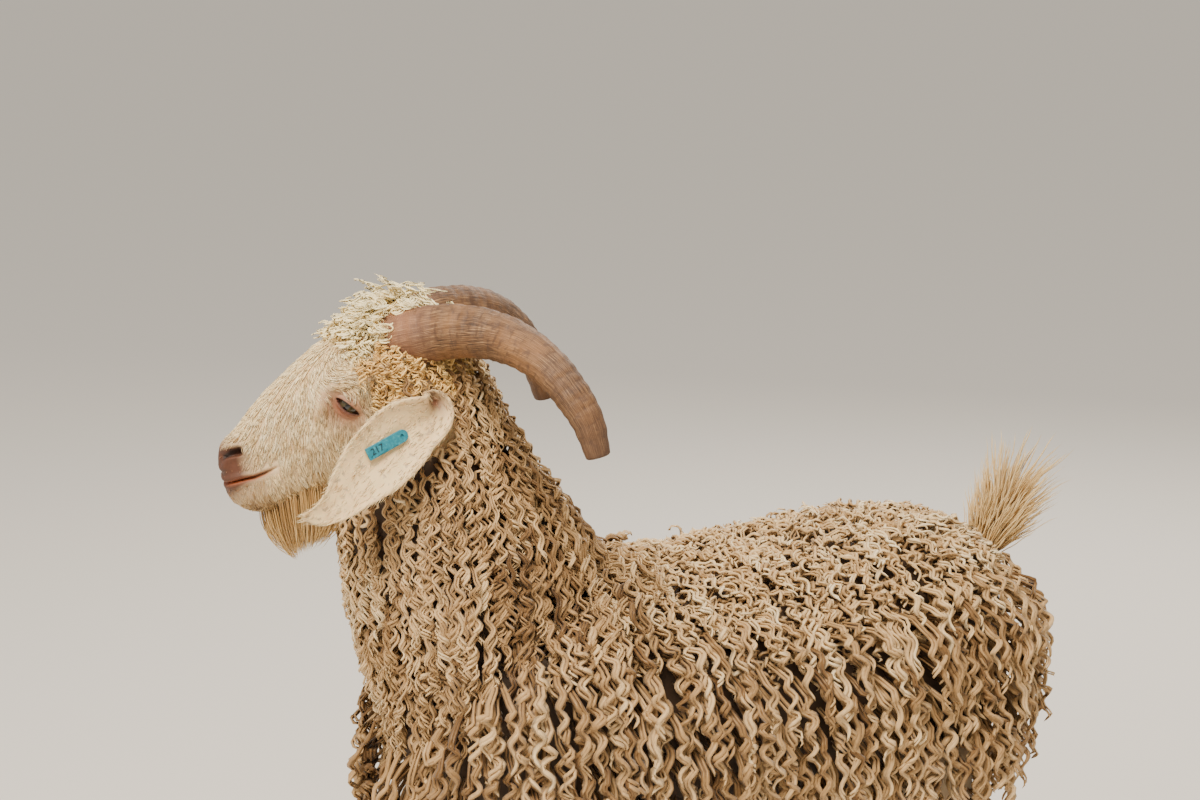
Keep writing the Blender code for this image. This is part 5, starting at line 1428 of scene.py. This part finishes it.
ear_points = np.concatenate([ear_rings(side, 40, 13).reshape(-1, 3) for side in (1, -1)])
horn_line = rows_at(HORN, np.linspace(0.04, 1, 40))[:, :3]
horn_middles = np.concatenate([on_head(horn_line, side) for side in (1, -1)])
neck_place = neck_depth(hide_points)
trunk_place = trunk_depth(hide_points)
leg_near = nearest_leg(hide_points)
on_neck = (neck_place[0] < 0.018) & (neck_place[0] < trunk_place[0]) & (neck_place[0] < leg_near)
tail_mask = (hide_points[:, 0] > 0.385) & (hide_points[:, 2] > 0.560)
roots, outs = scattered((on_neck & (hide_marks[:, 3] > 0.35)).astype(float), NECK_SPACING)
depth, share, angle = neck_depth(roots)
nape = eased(np.abs(angle), 1.9, 2.9)
top = eased(share, 0.50, 0.92)
loft = (0.029 - 0.015 * nape) * (1 - 0.42 * top) * draw.uniform(0.72, 1.12, len(roots))
length = (0.067 - 0.015 * top - 0.020 * nape) * draw.uniform(0.75, 1.18, len(roots))
lie = unit(DOWN + 0.25 * outs * (1, 1, 0) + draw.normal(0, 0.16, roots.shape))
lie = square_to(lie, outs)
LOCK_CELL = (0.015, 0.015, 0.050)  # ropes whose roots share such a cell hang together
paths, normals, tight = tucked(roots, outs, lie, length, loft, 13, fleece_room)
paths, kin = gathered(paths, LOCK_CELL, 0.25)
width = (0.0041 - 0.0012 * top - 0.0008 * nape) * (1 - 0.4 * tight) * draw.uniform(0.8, 1.2, len(roots))
period = 0.0215 - 0.0065 * top - 0.004 * nape
spread = (0.0021 - 0.0007 * top) * (1 - 0.3 * tight)
ropes, rope_out = ringlets(paths, normals, width, period, NECK_STRANDS, spread, NECK_STEPS, kin)
own = draw.uniform(0.20, 0.54, kin.max() + 1)[kin] + draw.uniform(-0.07, 0.07, len(roots))
# The nape is paler; ropes tucked under the ears and horns, and those low on the neck, are darker, a painted shade
own += 0.16 * nape - 0.06 * tight + 0.04 * top - 0.15 * (1 - eased(share, 0.15, 0.50))
tone = rope_tone(own, NECK_STRANDS, 0.30)
half_width = np.repeat(0.0021 - 0.0007 * top, NECK_STRANDS) * draw.uniform(0.75, 1.2, len(ropes))
FLEECE_SHADES = ((0.0, (0.055, 0.026, 0.010)), (0.22, (0.20, 0.108, 0.043)), (0.46, (0.45, 0.285, 0.133)),
                 (0.72, (0.72, 0.52, 0.285)), (1.0, (0.93, 0.79, 0.54)))
fleece_paint = coat_paint("mohair", FLEECE_SHADES, 0.36, (0.97, 0.87, 0.68))
clear = free_of_head(ropes)
left = ropes[:, 0, 1] < SHIFT[1] + 0.006
high = np.repeat(share > 0.55, NECK_STRANDS)
for half, word in ((left & high, "upper_left"), (left & ~high, "lower_left"), (~left & high, "upper_right"),
                   (~left & ~high, "lower_right")):
    half = half & clear
    rope_solid(f"neck_ringlets_{word}", half, (ropes, rope_out, half_width, tone), 0.60, fleece_paint)

# The fleece of the trunk and the upper legs.
# Longer, wider ringlets hang down the flanks and from the belly; along the back the coat is short, open
# and paler, and on the upper legs it thins out to the knee and the hock.
TRUNK_SPACING = 0.0158
TRUNK_STEPS = 20
TRUNK_STRANDS = 2
REAR_LIMIT = 0.476  # no rope reaches further back than this
SHOULDER_END = -0.03  # where along the body one region gives way to the next
FLANK_END = 0.17
wool = (hide_marks[:, 3] > 0.35) & ~on_neck & ~tail_mask & (hide_head_depth > 0.004)
roots, outs = scattered(wool.astype(float), TRUNK_SPACING)
limb = nearest_leg(roots)
on_leg = (limb < trunk_depth(roots)[0]) & (roots[:, 2] < 0.40)
back = eased(outs[:, 2], 0.35, 0.85)
belly = eased(-outs[:, 2], 0.45, 0.95)
fade = np.where(on_leg, 0.25 + 0.75 * eased(roots[:, 2], 0.225, 0.31), 1.0)
loft = np.where(on_leg, 0.015, 0.042 - 0.023 * back - 0.014 * belly) * fade
loft = loft * draw.uniform(0.72, 1.12, len(roots))
length = np.where(on_leg, 0.048, 0.064 - 0.024 * back - 0.016 * belly) * fade
length = length * draw.uniform(0.75, 1.18, len(roots))
aside = np.stack((np.full(len(roots), 0.35), np.clip(roots[:, 1] / 0.07, -1, 1) * 0.7, np.zeros(len(roots))), axis=1)
lie = unit(DOWN + aside * back[:, None] + np.array((0.10, 0, 0)) + draw.normal(0, 0.18, roots.shape)
           + draw.normal(0, 0.55, roots.shape) * back[:, None])
lie = square_to(lie, outs)
paths, normals, _ = tucked(roots, outs, lie, length, loft, 12, fleece_room)
paths, kin = gathered(paths, LOCK_CELL, 0.20)
width = (0.0047 - 0.0013 * back) * np.where(on_leg, 0.65, 1.0) * draw.uniform(0.8, 1.2, len(roots))
period = (0.0255 - 0.0085 * back) * np.where(on_leg, 0.72, 1.0)
spread = np.where(on_leg, 0.0014, 0.0021)
ropes, rope_out = ringlets(paths, normals, width, period, TRUNK_STRANDS, spread, TRUNK_STEPS, kin)
own = draw.uniform(0.24, 0.58, kin.max() + 1)[kin] + draw.uniform(-0.07, 0.07, len(roots))
# The back is paler; low on the trunk the ropes are darker, a painted shade under the body
own += 0.24 * back - 0.08 * eased(0.42 - roots[:, 2], 0, 0.12) * ~on_leg
tone = rope_tone(own, TRUNK_STRANDS, 0.30)
half_width = np.repeat(np.where(on_leg, 0.0021, 0.0032 - 0.0008 * back), TRUNK_STRANDS)
half_width = half_width * draw.uniform(0.75, 1.2, len(ropes))
clear = free_of_head(ropes)
clear &= (ropes[:, :, 2].min(axis=1) > 0.03) & (ropes[:, :, 0].max(axis=1) < REAR_LIMIT)
place = ropes[:, 0]
left = place[:, 1] < SHIFT[1]
legs_now = np.repeat(on_leg, TRUNK_STRANDS)
cuts = ((~legs_now & (place[:, 0] < SHOULDER_END), "shoulder"),
        (~legs_now & (place[:, 0] >= SHOULDER_END) & (place[:, 0] < FLANK_END), "flank"),
        (~legs_now & (place[:, 0] >= FLANK_END), "rump"), (legs_now, "upper_leg"))
for region, region_name in cuts:
    for half, word in ((left, "left"), (~left, "right")):
        chosen = region & half & clear
        rope_solid(f"{region_name}_ringlets_{word}", chosen, (ropes, rope_out, half_width, tone), 0.58,
                   fleece_paint)

# The short curls of the back.
# Between the long locks, along the spine, over the loin and behind the ears, small loose curls close the coat.
BACK_STEPS = 13
BACK_SPACING = 0.0120
spine = ~tail_mask & (hide_head_depth > 0.010) & (hide_out[:, 2] > 0.30) & (hide_points[:, 2] > 0.42)
spine |= on_neck & (hump(folded, (-0.025, -0.090, 0.062), (0.060, 0.050, 0.045)) > 0.30)
roots, outs = scattered((spine & (hide_marks[:, 3] > 0.35)).astype(float), BACK_SPACING)
count = len(roots)
lie = draw.normal(0, 1, roots.shape) + np.array((0.5, 0, 0))
lie = square_to(lie, outs)
back = eased(outs[:, 2], 0.35, 0.85)
loft = 0.012 + 0.007 * back * draw.random(count)
paths, normals, _ = tucked(roots, outs, lie, np.full(count, 0.026), loft, 7, fleece_room)
kin = gathered(paths, 0.014, 0.0)[1]
ropes, rope_out = ringlets(paths, normals, np.full(count, 0.0044), np.full(count, 0.0150), 1,
                           np.full(count, 0.0004), BACK_STEPS, kin)
tone = rope_tone(draw.uniform(0.40, 0.72, count), 1, 0.30)
half_width = draw.uniform(0.0021, 0.0031, count)
clear = free_of_head(ropes)
rope_solid("back_curls", clear, (ropes, rope_out, half_width, tone), 0.58, fleece_paint)

# The curls of the crown.
# A deep soft mass of pale curls stands over the poll and thins out to the forehead; down the temples,
# round the horns' roots and behind the ears the curls are small and tight.
CROWN_RISE = ((0.015, 0.040, 0.060, 0.085), (0.009, 0.017, 0.027, 0.037))  # places behind the eyes, heights
CROWN_STEPS = 21
CROWN_STRANDS = 3
CROWN_SPACING = 0.0050
crown_paint = coat_paint("crown curls", ((0.0, (0.28, 0.165, 0.066)), (0.22, (0.68, 0.49, 0.23)),
                                         (0.46, (0.96, 0.77, 0.40)), (1.0, (0.99, 0.89, 0.57))), 0.42,
                         (0.93, 0.74, 0.46))
top_mask = (hide_marks[:, 2] < 0.5) & (hide_head_depth < 0.02)
roots, outs = scattered((top_mask & in_crown).astype(float), CROWN_SPACING)
count = len(roots)
u, w, s = in_head(roots).T
rise = np.interp(-u, *CROWN_RISE) * (1 - 0.42 * eased(np.abs(s), 0.020, 0.045)) * draw.uniform(0.55, 1.08, count)
lean = unit(outs * 0.55 + UP * 0.65 - FORWARD * 0.10 + draw.normal(0, 0.22, roots.shape))
wander = draw.normal(0, 1, roots.shape)
wander = square_to(wander, lean)
share = np.linspace(0, 1, 10)[None, :, None]
paths = roots[:, None, :] + rise[:, None, None] * (lean[:, None, :] * (1.90 * share - share**2)
                                                   + wander[:, None, :] * 0.95 * share**1.6)
paths[:, 0] -= outs * 0.002
size = np.clip(rise / 0.022, 0.55, 1.0)
kin = gathered(paths, 0.009, 0.0)[1]
width = 0.0056 * size * draw.uniform(0.7, 1.2, count)
period = draw.uniform(0.0105, 0.0150, count)
normals = np.repeat(wander[:, None, :], 10, axis=1)
ropes, rope_out = ringlets(paths, normals, width, period, CROWN_STRANDS, 0.0034 * size, CROWN_STEPS, kin)
tone = rope_tone(draw.uniform(0.60, 0.94, count), CROWN_STRANDS, 0.12)
half_width = draw.uniform(0.0009, 0.0013, len(ropes))
horn_far = np.concatenate((horn_middles[8:40], horn_middles[48:]))
clear = clear_of(ropes[:, 3:], horn_middles, 0.018) & clear_of(ropes[:, 3:], horn_far, 0.0265)
rope_solid("crown_curls", clear, (ropes, rope_out, half_width, tone), 0.6, crown_paint)

TEMPLE_STEPS = 19
TEMPLE_STRANDS = 2
TEMPLE_SPACING = 0.0056
u, w, s = folded.T
temple = top_mask & ~in_crown & (u < -0.026) & (w > -0.052) & (s > 0.012)
roots, outs = scattered(temple.astype(float), TEMPLE_SPACING)
count = len(roots)
lie = unit(DOWN * 0.8 - FORWARD * 0.35 + draw.normal(0, 0.35, roots.shape))
lie = square_to(lie, outs)
length = 0.0225 * draw.uniform(0.75, 1.25, count)
loft = 0.0065 * draw.uniform(0.7, 1.3, count)
paths, normals = draped(roots, outs, lie, length, loft, 9, only_head, 0.3)
kin = gathered(paths, 0.009, 0.0)[1]
ropes, rope_out = ringlets(paths, normals, 0.0032 * draw.uniform(0.7, 1.2, count), np.full(count, 0.0088),
                           TEMPLE_STRANDS, np.full(count, 0.0011), TEMPLE_STEPS, kin)
tone = rope_tone(draw.uniform(0.20, 0.54, count), TEMPLE_STRANDS, 0.85)
half_width = draw.uniform(0.0010, 0.0014, len(ropes))
clear = clear_of(ropes[:, 3:], ear_points, 0.0025) & clear_of(ropes[:, 3:], horn_far, 0.024)
rope_solid("temple_curls", clear, (ropes, rope_out, half_width, tone), 0.6, crown_paint)

# The beard.
# Straight yellow-tan hair that leaves the chin and the jaw and sweeps down to one soft point.
BEARD_TIP = ((0.050, 0.110), (0.104, 0.134))  # places of the roots, and how far forward their hair reaches
BEARD_DROP = -0.100
BEARD_SPACING = 0.00165
LONG_HAIR_PROFILE = (0.8, 1.0, 1.0, 1.0, 0.9, 0.75, 0.5)
beard_weight = hump(folded, (0.096, -0.060, 0.0), (0.030, 0.024, 0.021))
beard_weight += 0.7 * hump(folded, (0.058, -0.066, 0.0), (0.030, 0.02, 0.026))
beard_weight *= (hide_head_depth < 0.012) & (folded[:, 1] < -0.024)
roots, outs = scattered(np.where(beard_weight > 0.10, np.minimum(beard_weight, 1), 0.0), BEARD_SPACING)
count = len(roots)
u, w, s = in_head(roots).T
reach = draw.uniform(0.55, 1.10, count)[:, None]
goal = on_head(np.stack((np.interp(u, *BEARD_TIP), np.full(count, BEARD_DROP), s * 0.30), axis=1))
goal = roots + (goal + draw.normal(0, 0.0030, roots.shape) - roots) * reach
bend = roots + (DOWN * 0.45 + outs * 0.30) * np.linalg.norm(goal - roots, axis=1)[:, None]
share = np.linspace(0, 1, 8)[None, :, None]
paths = (roots[:, None, :] * (1 - share) ** 2 + 2 * bend[:, None, :] * share * (1 - share)
         + goal[:, None, :] * share**2)
paths[:, 0] -= outs * 0.002
paths, bunch = gathered(paths, 0.0075, 0.35)
own = draw.uniform(0.34, 0.58, count) + draw.normal(0, 0.07, bunch.max() + 1)[bunch]
tone = np.stack((own, own, np.full(count, 0.9), np.zeros(count)), axis=1)
beard_paint = coat_paint("beard hair", FACE_SHADES, 0.40, (0.92, 0.74, 0.44))
lock_solid("beard", paths, unit(outs * 0.3 + LEFT * np.sign(s)[:, None]), 0.00052, 0.00034,
           LONG_HAIR_PROFILE, tone, beard_paint)

# The short hair of the lower legs.
# Smooth pale hair lies down the cannons and fringes the hooves.
SHANK_SPACING = 0.0049
shank = (hide_points[:, 2] < 0.245) & (hide_points[:, 2] > 0.026) & (leg_near < 0.012)
roots, outs = scattered(shank.astype(float), SHANK_SPACING)
lie = unit(DOWN + draw.normal(0, 0.10, roots.shape))
lie = square_to(lie, outs)
length = np.where(roots[:, 2] < 0.05, 0.010, 0.0135) * draw.uniform(0.75, 1.25, len(roots))
reach = lie * length[:, None]
paths = np.stack((roots - outs * 0.0006, roots + reach * 0.35 + outs * 0.0011, roots + reach * 0.72 + outs * 0.0017,
                  roots + reach + outs * 0.0014), axis=1)
paths, bunch = gathered(paths, 0.0080, 0.45)
own = 0.58 + 0.12 * draw.random(len(roots)) + draw.normal(0, 0.05, bunch.max() + 1)[bunch]
tone = np.stack((own, own, np.full(len(own), 0.35), np.zeros(len(own))), axis=1)
lock_solid("leg_hair", paths, outs, 0.00090, 0.00042, HAIR_PROFILE, tone, face_paint)

# The tail.
# A short dock held up, from which long straight yellowish hair rises and fans out.
TAIL_SPACING = 0.0030
roots, outs = scattered(tail_mask.astype(float), TAIL_SPACING)
count = len(roots)
rise = unit(np.array((0.42, 0.0, 1.0)) + outs * 0.55 + draw.normal(0, 0.10, roots.shape))
length = draw.uniform(0.055, 0.098, count) * (0.75 + 0.25 * eased(roots[:, 2], 0.56, 0.62))
share = np.linspace(0, 1, 8)[None, :, None]
bend = outs[:, None, :] * (0.12 * share**1.5) + np.array((0.30, 0, -0.10)) * share**2 * 0.45
wave = np.sin(share * 9 + draw.uniform(0, 6, (count, 1, 1))) * 0.0022 * share * np.array((0, 1.0, 0.2))
paths = roots[:, None, :] + length[:, None, None] * (rise[:, None, :] * share * 0.95 + bend * 0.55) + wave
paths[:, 0] -= outs * 0.002
own = draw.uniform(0.42, 0.68, count)
tone = np.stack((own, own, np.full(count, 0.70), np.zeros(count)), axis=1)
lock_solid("tail_hair", paths, outs, 0.0012, 0.0006, LONG_HAIR_PROFILE, tone, beard_paint)

# The floor, the light and the camera.
# A pale plain floor and wide soft lamps stand for a studio; the camera keeps the photo's angle and framing.
CAMERA_TURN = math.radians(-30)
CAMERA_DOWN = math.radians(10.3)
CAMERA_DISTANCE = 2.885
CAMERA_ASIDE = 0.240
CAMERA_ABOVE = 0.003
CAMERA_LENS = 90
HORIZON = (0.55, 0.50, 0.43)
floor = mesh_object("floor", np.array(((-1, -1, 0), (1, -1, 0), (1, 1, 0), (-1, 1, 0))) * 60.0,
                    np.array(((0, 1, 2), (0, 2, 3))), False)
floor_paint, _, _, shader = new_material("floor")
shader.inputs["Base Color"].default_value = (0.80, 0.76, 0.70, 1)
shader.inputs["Roughness"].default_value = 0.9
floor.data.materials.append(floor_paint)
world = bpy.data.worlds.new("studio")
bpy.context.scene.world = world
world.use_nodes = True
# The sky is dimmed towards the horizon, near to the tone of the far floor
nodes, links = world.node_tree.nodes, world.node_tree.links
directions = nodes.new("ShaderNodeSeparateXYZ")
links.new(nodes.new("ShaderNodeTexCoord").outputs["Generated"], directions.inputs[0])
sky = ramp(nodes, links, directions.outputs["Z"], ((0.0, HORIZON), (0.10, HORIZON), (0.45, (0.76, 0.72, 0.66))))
links.new(sky, nodes["Background"].inputs["Color"])
nodes["Background"].inputs["Strength"].default_value = 1.0


def lamp(name, place, aim, size, power, colour):
    """A square soft lamp at a place, turned to face an aim."""
    light = bpy.data.lights.new(name, "AREA")
    light.size = size
    light.energy = power
    light.color = colour
    made = bpy.data.objects.new(name, light)
    bpy.context.scene.collection.objects.link(made)
    made.location = place
    made.rotation_euler = (Vector(place) - Vector(aim)).to_track_quat("Z", "Y").to_euler()


lamp("key", (-1.5, -1.3, 3.3), (-0.2, 0.0, 0.6), 1.3, 190, (1.0, 0.90, 0.76))
lamp("fill", (-3.0, 1.5, 1.6), (-0.2, 0.0, 0.6), 2.2, 20, (1.0, 0.95, 0.89))
lamp("rim", (2.2, 2.0, 2.4), (0.0, 0.0, 0.6), 1.6, 60, (1.0, 0.93, 0.83))
camera = bpy.data.objects.new("camera", bpy.data.cameras.new("camera"))
bpy.context.scene.collection.objects.link(camera)
camera_right = Vector((math.cos(CAMERA_TURN), math.sin(CAMERA_TURN), 0.0))
camera_into = Vector((-math.sin(CAMERA_TURN) * math.cos(CAMERA_DOWN),
                      math.cos(CAMERA_TURN) * math.cos(CAMERA_DOWN), -math.sin(CAMERA_DOWN)))
camera_up = camera_right.cross(camera_into)
camera.location = (Vector(on_head([EYE])[0]) - camera_into * CAMERA_DISTANCE + camera_right * CAMERA_ASIDE
                   + camera_up * CAMERA_ABOVE)
camera.rotation_euler = (-camera_into).to_track_quat("Z", "Y").to_euler()
camera.data.lens = CAMERA_LENS
bpy.context.scene.camera = camera
